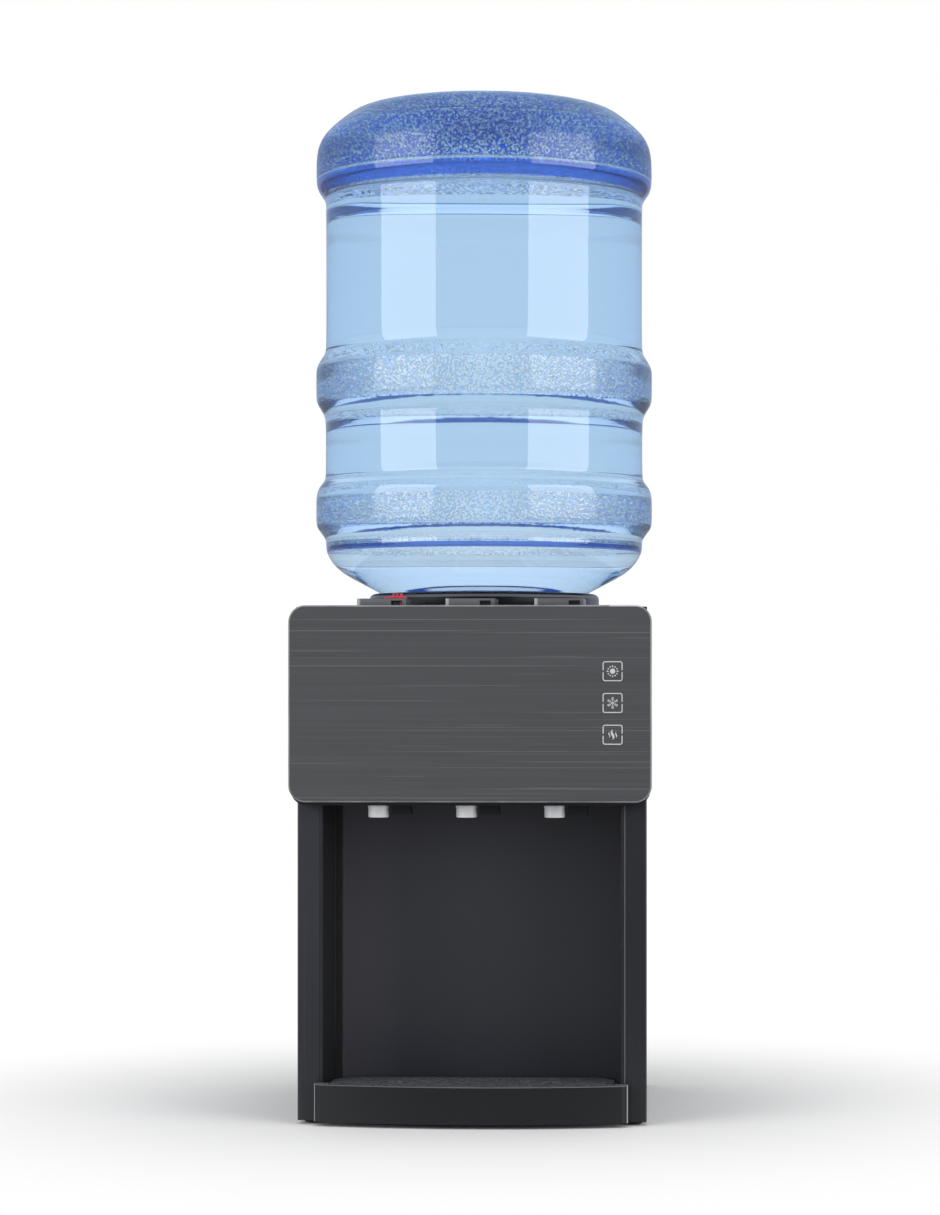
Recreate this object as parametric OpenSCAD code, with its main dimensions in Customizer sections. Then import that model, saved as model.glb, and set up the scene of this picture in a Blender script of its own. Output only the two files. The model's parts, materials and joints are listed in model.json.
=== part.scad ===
// Countertop water dispenser with three push keys, a drip tray and an upturned 19 litre bottle.
// Millimetres. +Z up, +Y to the rear, the front faces -Y. The origin is at the middle of the footprint, on the counter.

/* [Body] */
// Width across the two side panels at the front
body_w = 273; // [265:1:285]
// How much each side draws in from the front to the rear
rear_taper = 8.5; // [0:0.5:9]
// Front plane of the side panels
body_front = -125; // [-128:1:-122]
// Outer face of the rear panel
body_back = 143; // [142:1:146]
// Underside of the base above the counter
base_z = 3; // [2:0.5:3]
// Top of the side and rear panels
wall_top = 402; // [401:0.5:402]
// Thickness of the painted sheet
sheet_t = 1.5; // [1:0.1:1.6]

/* [Niche] */
// Half width of the niche at its mouth
niche_hw = 116.6; // [115.5:0.1:116.6]
// Half width of the niche at its back wall
niche_back_hw = 112.4; // [110:0.1:113]
// Front face of the back wall
niche_back = -25; // [-35:1:-24]
// Underside of the head, which is the niche's ceiling
head_bottom = 249.5; // [249.5:0.1:251]

/* [Fascia] */
// Width of the fascia plate
fascia_w = 282; // [279:1:286]
// Lower edge of the fascia
fascia_z0 = 251.9; // [250:0.1:253]
// Upper edge of the fascia
fascia_z1 = 404.7; // [404:0.1:405]
// Front face of the fascia
fascia_y = -145; // [-147:0.5:-144]
// Corner radius of the fascia
fascia_r = 13; // [8:0.5:16]

/* [Taps] */
// Distance between the taps
tap_pitch = 69; // [66:1:70]
// Offset of the tap axes to the left of the keys' middles
tap_shift = 4.5; // [3:0.1:6]
// Depth position of the tap axes
tap_y = -118; // [-119:0.5:-117]
// Outer radius of a nozzle
nozzle_r = 8.1; // [7:0.1:8.6]
// Lower end of a nozzle
nozzle_z = 239.4; // [236:0.2:243]
// Width of a key
key_w = 38; // [34:1:39]
// Top of a key
key_z = 410; // [409:0.5:411]

/* [Drip tray] */
// Half width of the tray's front part
tray_hw = 122.3; // [118:0.1:124]
// Furthest point of the bowed front
tray_front = -153; // [-156:0.5:-150]
// Rear edge of the tray
tray_back = -78; // [-82:1:-78]
// Rim height of the tray
tray_top = 32.5; // [28:0.5:36]

/* [Bottle] */
// Outer radius of the three bands
band_r = 136.8; // [134:0.1:137]
// Outer radius of the barrel between bands
barrel_r = 128.8; // [125:0.1:129]
// Wall thickness of the bottle
bottle_t = 1.6; // [1.2:0.1:2]
// Outer radius of the neck
neck_r = 27.5; // [26:0.1:27.5]
// Highest point of the bottle
bottle_top = 812; // [811:0.5:813]
// Mouth of the bottle
mouth_z = 328.6; // [328.6:0.1:330]

/* [Hidden] */
$fn = 64;
hw = body_w/2;
rw = hw-rear_taper;
keys_x = [-tap_pitch, 0, tap_pitch];
taps_x = [for (x = keys_x) x-tap_shift];
hinge_y = -101.5;
hinge_z = 400.5;
tray_arc = 503.6;
icon_x = 110.8;
icon_z = [353.5, 329, 304.5];
fan_z = 290;

// ---------- helpers ----------
function arc(c, r, a0, a1, n) = [for (i = [0:n]) let(a = a0 + (a1 - a0)*i/n) [c[0] + r*cos(a), c[1] + r*sin(a)]];
function flip(p) = [for (i = [len(p)-1:-1:0]) p[i]];
function mirror_x(p) = [for (i = [len(p)-1:-1:0]) [-p[i][0], p[i][1]]];
function unit(v) = v/norm(v);
function catmull(a, b, c, d, t) = 0.5*((2*b) + (c - a)*t + (2*a - 5*b + 4*c - d)*t*t + (3*b - a - 3*c + d)*t*t*t);
function smooth(P, k) = [for (i = [0:len(P)-2]) for (j = [0:k-1])
    catmull(P[max(i-1, 0)], P[i], P[i+1], P[min(i+2, len(P)-1)], j/k), P[len(P)-1]];
function tangent(P, i) = unit(P[min(i+1, len(P)-1)] - P[max(i-1, 0)]);
function normals(P, i = 0, acc = []) = i == len(P) ? acc :
  let(t = tangent(P, i), g = i == 0 ? (abs(t[2]) < 0.9 ? [0, 0, 1] : [1, 0, 0]) : acc[i-1])
  normals(P, i + 1, concat(acc, [unit(g - (g*t)*t)]));

// A round rod of radius r swept along the points P
module sweep(P, r, sides = 10) {
  N = normals(P);
  m = len(P);
  pts = [for (i = [0:m-1]) for (j = [0:sides-1]) let(t = tangent(P, i), a = 360*j/sides)
    P[i] + r*(cos(a)*N[i] + sin(a)*cross(t, N[i]))];
  fcs = concat(
    [for (i = [0:m-2]) for (j = [0:sides-1]) let(k = (j+1) % sides) [i*sides+j, (i+1)*sides+j, (i+1)*sides+k]],
    [for (i = [0:m-2]) for (j = [0:sides-1]) let(k = (j+1) % sides) [i*sides+j, (i+1)*sides+k, i*sides+k]],
    [[for (j = [0:sides-1]) j]], [[for (j = [sides-1:-1:0]) (m-1)*sides+j]]);
  polyhedron(pts, fcs, convexity = 10);
}
module box(x0, x1, y0, y1, z0, z1) { translate([x0, y0, z0]) cube([x1-x0, y1-y0, z1-z0]); }
module rrect(w, h, r) {
  square([w-2*r, h], center = true);
  square([w, h-2*r], center = true);
  for (x = [-1, 1], y = [-1, 1]) translate([x*(w/2-r), y*(h/2-r)]) circle(r);
}
// A cylinder along Y from y0 to y1
module ycyl(x, z, r, y0, y1) { translate([x, y0, z]) rotate([-90, 0, 0]) cylinder(r = r, h = y1-y0); }
module xcyl(y, z, r, x0, x1) { translate([x0, y, z]) rotate([0, 90, 0]) cylinder(r = r, h = x1-x0); }
// A plate with rounded corners and a chamfered upper edge
module chamfer_plate(w, h, r, t, c) {
  linear_extrude(t-c) rrect(w, h, r);
  translate([0, 0, t-c]) {
    rotate([90, 0, 90]) translate([0, 0, -(w/2-r)]) linear_extrude(w-2*r)
      polygon([[-h/2, 0], [h/2, 0], [h/2-c, c], [-h/2+c, c]]);
    rotate([90, 0, 0]) translate([0, 0, -(h/2-r)]) linear_extrude(h-2*r)
      polygon([[-w/2, 0], [w/2, 0], [w/2-c, c], [-w/2+c, c]]);
    for (x = [-1, 1], y = [-1, 1]) translate([x*(w/2-r), y*(h/2-r), 0]) cylinder(r1 = r, r2 = r-c, h = c);
  }
}

// ---------- casing ----------
// Half width across the side panels at depth y
function wx(y) = hw-rear_taper*(y-body_front)/(body_back-body_front);
// A block that narrows with the side panels, inset by i
module tapered(i, y0, y1, z0, z1) {
  translate([0, 0, z0]) linear_extrude(z1-z0)
    polygon([[-wx(y0)+i, y0], [wx(y0)-i, y0], [wx(y1)-i, y1], [-wx(y1)+i, y1]]);
}
feet = [[-122, -108], [122, -108], [-113, 122], [113, 122]];
module base_pan() {
  color([0.10, 0.10, 0.11]) difference() {
    tapered(1.7, body_front+1.8, body_back-3.3, base_z, 20);
    tapered(4.5, niche_back+5, body_back-5.8, base_z+2.5, 21);
    box(-114.9, 114.9, body_front-5, tray_back+1.5, base_z+3, 21);
    for (p = feet) translate([p[0], p[1], base_z-1]) cylinder(r = 3, h = 6);
  }
  // stand under the hot tank
  color([0.10, 0.10, 0.11]) for (a = [0:90:270]) translate([44*cos(a), 55+44*sin(a), base_z+1]) cylinder(r = 5, h = 103.7-base_z-1);
}
module rubber_feet() {
  color([0.06, 0.06, 0.06]) for (p = feet) translate([p[0], p[1], 0]) {
    cylinder(r1 = 10, r2 = 11, h = 1);
    translate([0, 0, 1]) cylinder(r = 11, h = base_z-1);
    translate([0, 0, base_z]) cylinder(r = 2.9, h = 4);
  }
}
// One bent steel side panel: front return, wall with louvres, rear return
module side_panel(s) {
  o = hw; y0 = body_front; y1 = body_back-1.6; r = wx(y1); t = sheet_t;
  prof = concat([[119, y0]], arc([o-1.5, y0+1.5], 1.5, -90, 0, 5), [[r, y1]],
    [[r-12, y1], [r-12, y1-t], [wx(y1-t)-t, y1-t], [wx(y0+t)-t, y0+t], [119, y0+t]]);
  color([0.17, 0.17, 0.18]) difference() {
    translate([0, 0, base_z]) linear_extrude(wall_top-base_z) polygon(s > 0 ? prof : mirror_x(prof));
    for (k = [0:7]) box(s > 0 ? wx(100)-t-1 : -wx(30)-1, s > 0 ? wx(30)+1 : -wx(100)+t+1, 30, 100, 70+k*9, 73+k*9);
    for (z = [24, 200, 385]) ycyl(s*(rw-6.5), z, 1.45, y1-4, y1+1);
  }
}
module rear_panel() {
  y0 = body_back-sheet_t;
  color([0.16, 0.16, 0.17]) difference() {
    box(-rw+0.1, rw-0.1, y0, body_back, base_z+0.2, wall_top-0.1);
    // fan outlet
    for (k = [-4:4]) let(h = 3.2, c = sqrt(36*36 - (abs(k)*7.6+h/2)*(abs(k)*7.6+h/2)))
      box(-c, c, y0-1, body_back+1, fan_z+k*7.6-h/2, fan_z+k*7.6+h/2);
    // lower intake louvres
    for (k = [0:9]) box(-20+k*11, -15+k*11, y0-1, body_back+1, 120, 190);
    // switches, drain and mains lead
    for (x = [-102, -74]) box(x-6.7, x+6.7, y0-1, body_back+1, 139.9, 160.1);
    ycyl(70, 60, 9.2, y0-1, body_back+1);
    ycyl(-95, 45, 7.1, y0-1, body_back+1);
    for (x = [-1, 1], z = [24, 200, 385]) ycyl(x*(rw-6.5), z, 1.55, y0-1, body_back+1);
  }
}
module rear_screws() {
  color([0.55, 0.55, 0.57]) for (x = [-1, 1], z = [24, 200, 385]) {
    ycyl(x*(rw-6.5), z, 1.4, body_back-8, body_back);
    difference() {
      ycyl(x*(rw-6.5), z, 3.2, body_back, body_back+1.7);
      for (a = [0, 90]) translate([x*(rw-6.5), body_back+1.3, z]) rotate([0, a, 0]) cube([3.6, 2, 0.7], center = true);
    }
  }
}
// Inner outline of the niche from its mouth to its back corner, moved outwards by t
function niche_side(t) = [[niche_hw+t, body_front], [niche_hw-1.4+t, -57+t/4], [niche_hw-3+t, -55+t/4], [niche_back_hw+t, niche_back+t]];
module niche_liner() {
  color([0.13, 0.13, 0.14]) translate([0, 0, 20.2]) linear_extrude(head_bottom-0.2-20.2)
    polygon(concat(niche_side(2.2), mirror_x(niche_side(2.2)), [for (p = niche_side(0)) [-p[0], p[1]]], flip(niche_side(0))));
}

// ---------- head ----------
module head_shell() {
  zc = (head_bottom+401.9)/2; h = 401.9-head_bottom; w = fascia_w-3;
  color([0.12, 0.12, 0.13]) difference() {
    union() {
      translate([0, -125.3, zc]) rotate([90, 0, 0]) linear_extrude(15.7) rrect(w, h, 12);
      box(-118.5, 118.5, -126, -120, head_bottom, head_bottom+2.5);
      tapered(2, -123.2, 96, head_bottom, head_bottom+2.5);
      // lug beside each nozzle
      for (x = taps_x) box(x+10.6, x+25.8, tap_y-6, tap_y+6, head_bottom-7.6, head_bottom+1);
    }
    translate([0, -120, zc]) rotate([90, 0, 0]) linear_extrude(18.5) rrect(w-5, h-5, 9.5);
    for (x = keys_x) box(x-20.5, x+20.5, -142, -120, 393.5, 403);
    for (x = taps_x) translate([x, tap_y, head_bottom-1]) cylinder(r = 9, h = 5);
    translate([20, 40, head_bottom-1]) cylinder(r = 6, h = 5);
    for (p = [[-98, 27], [-94, 35]]) translate([p[0], p[1], head_bottom-1]) cylinder(r = 10, h = 5);
    for (z = icon_z) box(icon_x-7.2, icon_x+7.2, -142, -136, z-7.2, z+7.2);
  }
}
module front_fascia() {
  color([0.33, 0.33, 0.34]) translate([0, fascia_y+4, (fascia_z0+fascia_z1)/2]) rotate([90, 0, 0])
    chamfer_plate(fascia_w, fascia_z1-fascia_z0, fascia_r, 4, 1.2);
}
module light_guides() {
  color([0.85, 0.85, 0.85]) for (z = icon_z) {
    box(icon_x-7, icon_x+7, -140.9, -138.4, z-7, z+7);
    box(icon_x-8.5, icon_x+8.5, -138.4, -136.4, z-8.5, z+8.5);
  }
}
module indicator_board() {
  color([0.05, 0.30, 0.15]) {
    box(icon_x-11, icon_x+11, -131.6, -130, 292, 366);
    for (z = icon_z) {
      translate([icon_x, -131.6, z]) rotate([90, 0, 0]) { cylinder(r = 2.5, h = 2.4); translate([0, 0, 2.4]) sphere(r = 2.4); }
      box(icon_x-2.5, icon_x+2.5, -130, -128.8, z-9, z-6.5);
    }
    box(icon_x-6, icon_x+6, -130, -124, 294, 300);
  }
}
// Right half of the cover's outline, 3 mm outside the side panels, with corners of radius r
function cover_half(y0, y1, r) = let(th = atan(rear_taper/(body_back-body_front)), d = (wx(y0)+0.3)*cos(th)+y0*sin(th))
  concat(arc([(d-r-(y0+r)*sin(th))/cos(th), y0+r], r, -90, th, 12), arc([(d-r-(y1-r)*sin(th))/cos(th), y1-r], r, th, 90, 12));
module top_cover() {
  half = cover_half(-140.9, body_back+0.4, 14);
  color([0.14, 0.14, 0.15]) difference() {
    union() {
      translate([0, 0, 402.2]) linear_extrude(1.5) polygon(concat(half, mirror_x(half)));
      translate([0, 0, 402.2]) cylinder(r = 107, h = 4.3, $fn = 96);
      difference() { tapered(3.5, -95, 130, 396, 402.5); tapered(5.5, -96, 131, 395, 402.1); }
      for (x = [-91.5, -34.5, 34.5, 91.5]) box(x-3, x+3, -105.5, -97.5, 396.5, 402.5);
    }
    translate([0, 0, 395]) cylinder(r = 90.6, h = 20);
    for (x = keys_x) box(x-20.3, x+20.3, -142, -97.2, 390, 410);
    xcyl(hinge_y, hinge_z, 1.52, -96, 96);
  }
}
// Height of the bottle's shoulder cone at radius r
function cone_z(r) = 387.2 + (r-neck_r)*0.533;
module bottle_collar() {
  g = 0.5;
  prof = concat([[90.2, 406.7], [93.6, 406.7], [93.6, 412.4]], arc([89, 412.4], 4.6, 10, 90, 7),
    arc([86.9, 416.1], 0.9, 90, 190, 4),
    [[84.4, cone_z(84.4)-g], [36.5, cone_z(36.5)-g], [34.5, cone_z(36.5)-2.6], [34.5, 319], [8.3, 319], [8.3, 316], [37, 316],
     [37, cone_z(37)-4.2], [84, cone_z(84)-7], [88.2, 405.5], [88.2, 403], [90.2, 403]]);
  color([0.07, 0.07, 0.075]) rotate_extrude($fn = 96) polygon(prof);
}
module bottle_probe() {
  color([0.85, 0.85, 0.86]) difference() {
    rotate_extrude() polygon([[0, 304], [8, 304], [8, 319.1], [16, 319.1], [16, 321.4], [8, 321.4], [8, 352], [3, 361], [0, 361.5]]);
    translate([0, 0, 303]) cylinder(r = 5.4, h = 48);
    for (a = [0:60:300]) rotate([0, 0, a]) box(2, 12, -1.6, 1.6, 338, 350);
  }
}
module probe_seal() {
  color([0.8, 0.8, 0.78]) difference() {
    translate([0, 0, 309.1]) cylinder(r = 14.5, h = 6.8);
    translate([0, 0, 305]) cylinder(r = 8.1, h = 15);
  }
}

// ---------- drip tray ----------
// Outline of the tray, drawn in by i
function tray_half(i) =
  let(w1 = tray_hw-i, rc = 7-i*0.8, R = tray_arc-i, cy = tray_front+tray_arc,
      te = asin((w1-rc)/(R-rc)), c = [(R-rc)*sin(te), cy-(R-rc)*cos(te)],
      w2 = 113.8-i, rr = 27-i, yb = tray_back-i)
  concat([for (k = [0:12]) let(a = te*k/12) [R*sin(a), cy-R*cos(a)]],
    [for (k = [1:7]) let(a = te+(90-te)*k/7) [c[0]+rc*sin(a), c[1]-rc*cos(a)]],
    [[w1, body_front-1.3-i], [w2, body_front-1.3-i]],
    arc([w2-rr, yb-rr], rr, 0, 90, 10));
function tray_outline(i) = concat(tray_half(i), [for (p = mirror_x(tray_half(i))) if (p[0] < -0.001) p]);
module tray_front_zone(i) { intersection() { polygon(tray_outline(i)); translate([-200, -300]) square([400, 300+body_front-1.3-i]); } }
module drip_tray() {
  color([0.11, 0.11, 0.12]) {
    difference() {
      union() {
        translate([0, 0, base_z+3.4]) linear_extrude(tray_top-base_z-3.4) polygon(tray_outline(0));
        translate([0, 0, base_z+0.4]) linear_extrude(5) tray_front_zone(0);
      }
      translate([0, 0, base_z+5.6]) linear_extrude(40) polygon(tray_outline(2.2));
      translate([0, 0, base_z+2.6]) linear_extrude(5) tray_front_zone(2.2);
    }
    // ribs that the grille rests on
    for (s = [-1, 1]) {
      box(s > 0 ? 107.6 : -112.6, s > 0 ? 112.6 : -107.6, -116, -112, base_z+4, tray_top-2.9);
      box(s*50-2, s*50+2, -150.3, -146.3, base_z+1, tray_top-2.9);
      box(s*50-2, s*50+2, -84.2, -79.2, base_z+4, tray_top-2.9);
    }
  }
}
module drip_grille() {
  color([0.22, 0.22, 0.23]) difference() {
    translate([0, 0, tray_top-2.6]) linear_extrude(2.3) polygon(tray_outline(2.7));
    for (s = [-1, 1]) translate([s*61, -116, 0]) cylinder(r = 8.5, h = 50);
    for (r = [0:7], c = [-9:9]) let(x = c*11.4 + (r % 2)*5.7, y = -142 + r*7.2)
      if (abs(x) < 105 && !(abs(abs(x)-61) < 14.5 && abs(y+116) < 11) && !(r == 0 && abs(x) > 84) && !(r == 7 && abs(x) > 96))
        box(x-3.6, x+3.6, y-1.5, y+1.5, 20, 40);
  }
}

// ---------- bottle ----------
// Radius on the shoulder cone where the barrel ends and the neck begins, and the inner radius there
split_r = 60;
split_ri = split_r-bottle_t*0.5-bottle_t/0.533;
// Meridian of the barrel, from the middle of its upturned base to the shoulder cone
function bottle_profile(i) = let(B = band_r-i, S = barrel_r-i, T = bottle_top-i) [
  [0, T-3], [70, T-3], [76, T-1], [82, T], [93-i*0.5, T], [102-i*0.7, T-1.8], [109-i*0.75, T-5], [116-i*0.8, T-10], [125-i*0.85, T-17.5],
  [131-i*0.9, 788-i*0.4], [134.6-i, 781-i*0.2], [136.2-i, 773.5], [B-0.2, 765], [B-0.2, 752], [B-0.7, 748.5], [B-2.2, 744.6], [B-5.5, 740.3], [S+0.4, 736.5], [S, 731],
  [S-0.2, 622], [S+0.6, 613], [S+3, 609], [B-2.2, 604.6], [B-0.5, 601], [B, 597], [B, 576.5], [B-0.8, 572.3], [B-3.2, 567.8], [S+1.6, 562.6], [S+0.2, 557],
  [S+0.2, 514], [S+1.4, 508.5], [B-2.3, 503.5], [B-0.6, 499], [B, 494.5], [B, 474.5], [B-1.1, 470], [B-4.6, 465], [S+0.6, 459.5], [S-0.6, 454.5],
  [S-2-i*0.1, 449.8+i*0.1], [S-4-i*0.1, 445+i*0.2], [S-7.2-i*0.05, 440+i*0.5], [116-i*0.7, 434.8+i*0.7], [108.4-i*0.6, 430.2+i*0.8], [98.8-i*0.5, 425.2+i]];
// Meridian of the neck, from the cone to the mouth
function neck_profile(i) = let(n = neck_r-i) [[n+3+i*0.3, cone_z(neck_r+3)+i], [n+0.6, 386.6+i*0.4], [n, 383.5], [n, mouth_z]];
module bottle() {
  po = bottle_profile(0);
  pi = bottle_profile(bottle_t);
  color([0.55, 0.73, 0.92, 0.6]) rotate_extrude($fn = 96)
    polygon(concat(po, [[split_r, cone_z(split_r)], [split_ri, cone_z(split_r)]], flip(pi)));
}
module bottle_neck() {
  color([0.55, 0.73, 0.92, 0.6]) union() {
    rotate_extrude($fn = 96) polygon(concat([[split_r, cone_z(split_r)]], neck_profile(0), flip(neck_profile(bottle_t)), [[split_ri, cone_z(split_r)]]));
    // bead that the cap snaps over
    difference() {
      translate([0, 0, 355]) cylinder(r = neck_r+1.6, h = 3);
      translate([0, 0, 350]) cylinder(r = neck_r-0.5, h = 20);
    }
  }
}
module bottle_cap() {
  color([0.90, 0.92, 0.94]) rotate_extrude() polygon([[9, 325.6], [30.4, 325.6], [31, 326.4], [31, 353.2], [28.3, 353.2],
    [28.3, 328.4], [10.6, 328.4], [10.6, 347], [9, 347]]);
}

// ---------- keys and taps ----------
module key_hinge_rod() { color([0.7, 0.7, 0.72]) xcyl(hinge_y, hinge_z, 1.5, -94.5, 94.5); }
module key(x, lock = false) {
  h = key_w/2; yf = -139.5; yr = -99.3; zt = key_z;
  color([0.42, 0.42, 0.43]) translate([x, 0, 0]) difference() {
    union() {
      box(-h, h, yf, yr, zt-1.8, zt);
      for (s = [-1, 1]) {
        box(s > 0 ? h-1.8 : -h, s > 0 ? h : -h+1.8, yf, yr, 403.2, zt-1);
        box(s > 0 ? h-1.8 : -h, s > 0 ? h : -h+1.8, hinge_y-3, yr, 397.6, 405);
      }
      box(-h, h, yf, yf+1.8, 400, zt-1);
      translate([-tap_shift, tap_y, 402]) cylinder(r = 1.5, h = zt-403);
      box(-h+1, h-1, -130.8, -129.6, 404.5, zt-1);
    }
    box(7.5, h-2.8, yf-1, yf+4, 403.6, zt-1.6);
    if (lock) {
      box(9.2, 14.8, -133.3, -119.5, 405, zt+1);
      box(7.5, h-2.8, -137.5, -116.5, 403, zt-1.8);
    }
    xcyl(hinge_y, hinge_z, 1.56, -30, 30);
  }
}
module child_lock() {
  color([0.80, 0.07, 0.08]) translate([keys_x[0], 0, 0]) {
    translate([0, -121.5, key_z]) rotate([90, 0, 0]) linear_extrude(15)
      polygon([[1.5, 0.15], [18.5, 0.15], [18.5, 1.2], [16.8, 1.9], [7.5, 1.9], [1.5, 0.8]]);
    for (x = [9, 11.8, 14.6]) box(x-0.6, x+0.6, -134.8, -123.2, key_z+1.8, key_z+4.2);
    box(9.5, 14.5, -133, -123.9, key_z-4, key_z+0.5);
    box(8.2, 15.6, -136.6, -122, key_z-5.8, key_z-2.1);
  }
}
module push_rod(x) {
  color([0.88, 0.88, 0.88]) translate([x, tap_y, 0]) {
    translate([0, 0, 281.5]) cylinder(r = 3.5, h = 2.5);
    translate([0, 0, 283]) cylinder(r = 2, h = 401.65-283);
    translate([0, 0, 325]) cylinder(r = 5.2, h = 2);
  }
}
module valve_seal(x) {
  color([0.9, 0.9, 0.86]) translate([x, tap_y, 284.05]) difference() { cylinder(r = 7, h = 3); translate([0, 0, -1]) cylinder(r = 2.05, h = 6); }
}
module return_springs() {
  turns = 5; n = 10; r = 3.9; z0 = 306; z1 = 324.3;
  color([0.75, 0.75, 0.77]) for (x = taps_x) translate([x, tap_y, 0])
    sweep([for (i = [0:turns*n]) let(a = 360*i/n) [r*cos(a), r*sin(a), z0+(z1-z0)*i/(turns*n)]], 0.55, 6);
}
module tap_body(x) {
  color([0.88, 0.88, 0.88]) translate([x, tap_y, 0]) difference() {
    union() {
      translate([0, 0, head_bottom+2.6]) cylinder(r = 13, h = 305.2-head_bottom-2.6);
      ycyl(0, 296, 5, 8, 25);
      ycyl(0, 296, 5.6, 20, 21.5);
    }
    translate([0, 0, 200]) cylinder(r = 10.9, h = 62);
    translate([0, 0, 261]) cylinder(r = 6, h = 10);
    translate([0, 0, 264.5]) cylinder(r = 10.5, h = 22.8);
    translate([0, 0, 280]) cylinder(r = 4, h = 15);
    translate([0, 0, 289.5]) cylinder(r = 10.5, h = 12.7);
    translate([0, 0, 300]) cylinder(r = 2.08, h = 10);
    ycyl(0, 296, 3, 5, 30);
  }
}
module nozzle(x) {
  zt = 261.9;
  color([0.90, 0.90, 0.93]) translate([x, tap_y, 0]) rotate_extrude()
    polygon([[6, nozzle_z], [nozzle_r-0.7, nozzle_z], [nozzle_r-0.1, nozzle_z+0.5], [nozzle_r, nozzle_z+1.2], [nozzle_r, 246.8], [nozzle_r+0.35, 247.1],
      [nozzle_r+0.35, 248.6], [nozzle_r, 248.9], [nozzle_r, 256], [10.6, 256], [10.6, zt], [6, zt], [6, 250], [5.2, 246], [5.2, nozzle_z+2]]);
}

// ---------- cold side ----------
module cold_tank() {
  color([0.85, 0.87, 0.9]) difference() {
    union() {
      translate([0, 0, 265]) cylinder(r = 70, h = 41);
      translate([20, 40, 252.3]) cylinder(r = 5, h = 14);
    }
    translate([0, 0, 267]) cylinder(r = 68, h = 50);
    translate([20, 40, 250]) cylinder(r = 3, h = 20);
    ycyl(taps_x[1], 296, 3, -80, -60);
  }
}
module cold_tank_lid() {
  color([0.8, 0.82, 0.85]) difference() {
    union() { translate([0, 0, 306.1]) cylinder(r = 72, h = 2.9); translate([0, 0, 302]) cylinder(r = 67.6, h = 5); }
    translate([0, 0, 290]) cylinder(r = 65.5, h = 16.1);
    translate([0, 0, 290]) cylinder(r = 8.4, h = 30);
  }
}
cold_route = smooth([[taps_x[2], -92.5, 296], [taps_x[2], -88, 296], [64.5, -76, 293], [64, -64, 286], [60.8, -55.1, 283], [56.3, -51.1, 283], [52.2, -47.3, 283]], 4);
module cold_tank_foam() {
  color([0.93, 0.93, 0.92]) difference() {
    translate([0, 0, head_bottom+3.1]) cylinder(r = 84, h = 305.9-head_bottom-3.1);
    translate([0, 0, 264.8]) cylinder(r = 70.3, h = 50);
    box(-20.5, 20.5, 50, 90, 264.8, 310);
    translate([20, 40, 240]) cylinder(r = 5.4, h = 30);
    ycyl(taps_x[1], 296, 5.6, -90, -60);
    box(44, 78, -78, -38, 276, 306);
  }
}
module cold_block() {
  color([0.75, 0.76, 0.78]) difference() {
    box(-19.5, 19.5, 60, 94, 266, 305);
    translate([0, 0, 250]) cylinder(r = 70.1, h = 70);
  }
}
module peltier_module() {
  color([0.95, 0.95, 0.93]) {
    box(-19.5, 19.5, 94.1, 98.1, 266, 305);
  }
}
module heat_sink() {
  color([0.62, 0.63, 0.65]) {
    box(-42, 42, 98.2, 103, 252, 328);
    for (k = [-8:8]) box(k*5-0.7, k*5+0.7, 102.5, 121.5, 252, 328);
  }
}
// The fan sits against the rear panel
module fan_frame() {
  y1 = body_back-sheet_t-0.1;
  color([0.08, 0.08, 0.08]) difference() {
    union() {
      difference() {
        box(-39, 39, y1-15, y1, fan_z-39, fan_z+39);
        ycyl(0, fan_z, 36, y1-20, y1+5);
      }
      ycyl(0, fan_z, 12, y1-2.5, y1);
      for (a = [45:90:315]) translate([0, 0, fan_z]) rotate([0, a, 0]) box(11, 37, y1-2.1, y1, -1.6, 1.6);
    }
    ycyl(0, fan_z, 1.55, y1-10, y1-0.8);
    for (x = [-1, 1], z = [-1, 1]) ycyl(x*34.5, fan_z+z*34.5, 2, y1-20, y1+5);
  }
}
module fan_rotor() {
  y1 = body_back-sheet_t-0.1;
  color([0.12, 0.12, 0.13]) {
    ycyl(0, fan_z, 12.5, y1-13.5, y1-3.2);
    ycyl(0, fan_z, 1.5, y1-4, y1-1.2);
    for (k = [0:6]) translate([0, y1-8.6, fan_z]) rotate([0, k*360/7, 0]) translate([11, 0, 0])
      rotate([38, 0, 0]) translate([0, -0.7, -6.2]) cube([23.4, 1.4, 12.4]);
  }
}

// ---------- hot side ----------
module hot_tank() {
  color([0.78, 0.78, 0.8]) translate([0, 55, 0]) difference() {
    union() {
      translate([0, 0, 110]) cylinder(r = 40, h = 105);
      translate([-18, 0, 213]) cylinder(r = 4, h = 15);
      translate([-18, 0, 228]) sphere(r = 4);
      translate([-18, 0, 228]) rotate([0, -90, 0]) cylinder(r = 4, h = 12);
      translate([38, 0, 118]) rotate([0, 90, 0]) cylinder(r = 4, h = 18);
      translate([0, 0, 102]) cylinder(r = 4, h = 10);
    }
    translate([0, 0, 111.2]) cylinder(r = 38.8, h = 102.6);
    translate([-18, 0, 210]) cylinder(r = 2.6, h = 18);
    translate([-18, 0, 228]) sphere(r = 2.6);
    translate([-18, 0, 228]) rotate([0, -90, 0]) cylinder(r = 2.6, h = 14);
    translate([30, 0, 118]) rotate([0, 90, 0]) cylinder(r = 2.6, h = 30);
    translate([0, 0, 100]) cylinder(r = 2.6, h = 14);
  }
}
module band_heater() {
  color([0.55, 0.5, 0.42]) translate([0, 55, 132]) {
    difference() { cylinder(r = 42, h = 30); translate([0, 0, -1]) cylinder(r = 40.1, h = 32); }
    for (s = [-1, 1]) box(s*6-2.5, s*6+2.5, -46.5, -41.5, 8, 22);
  }
}
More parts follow.
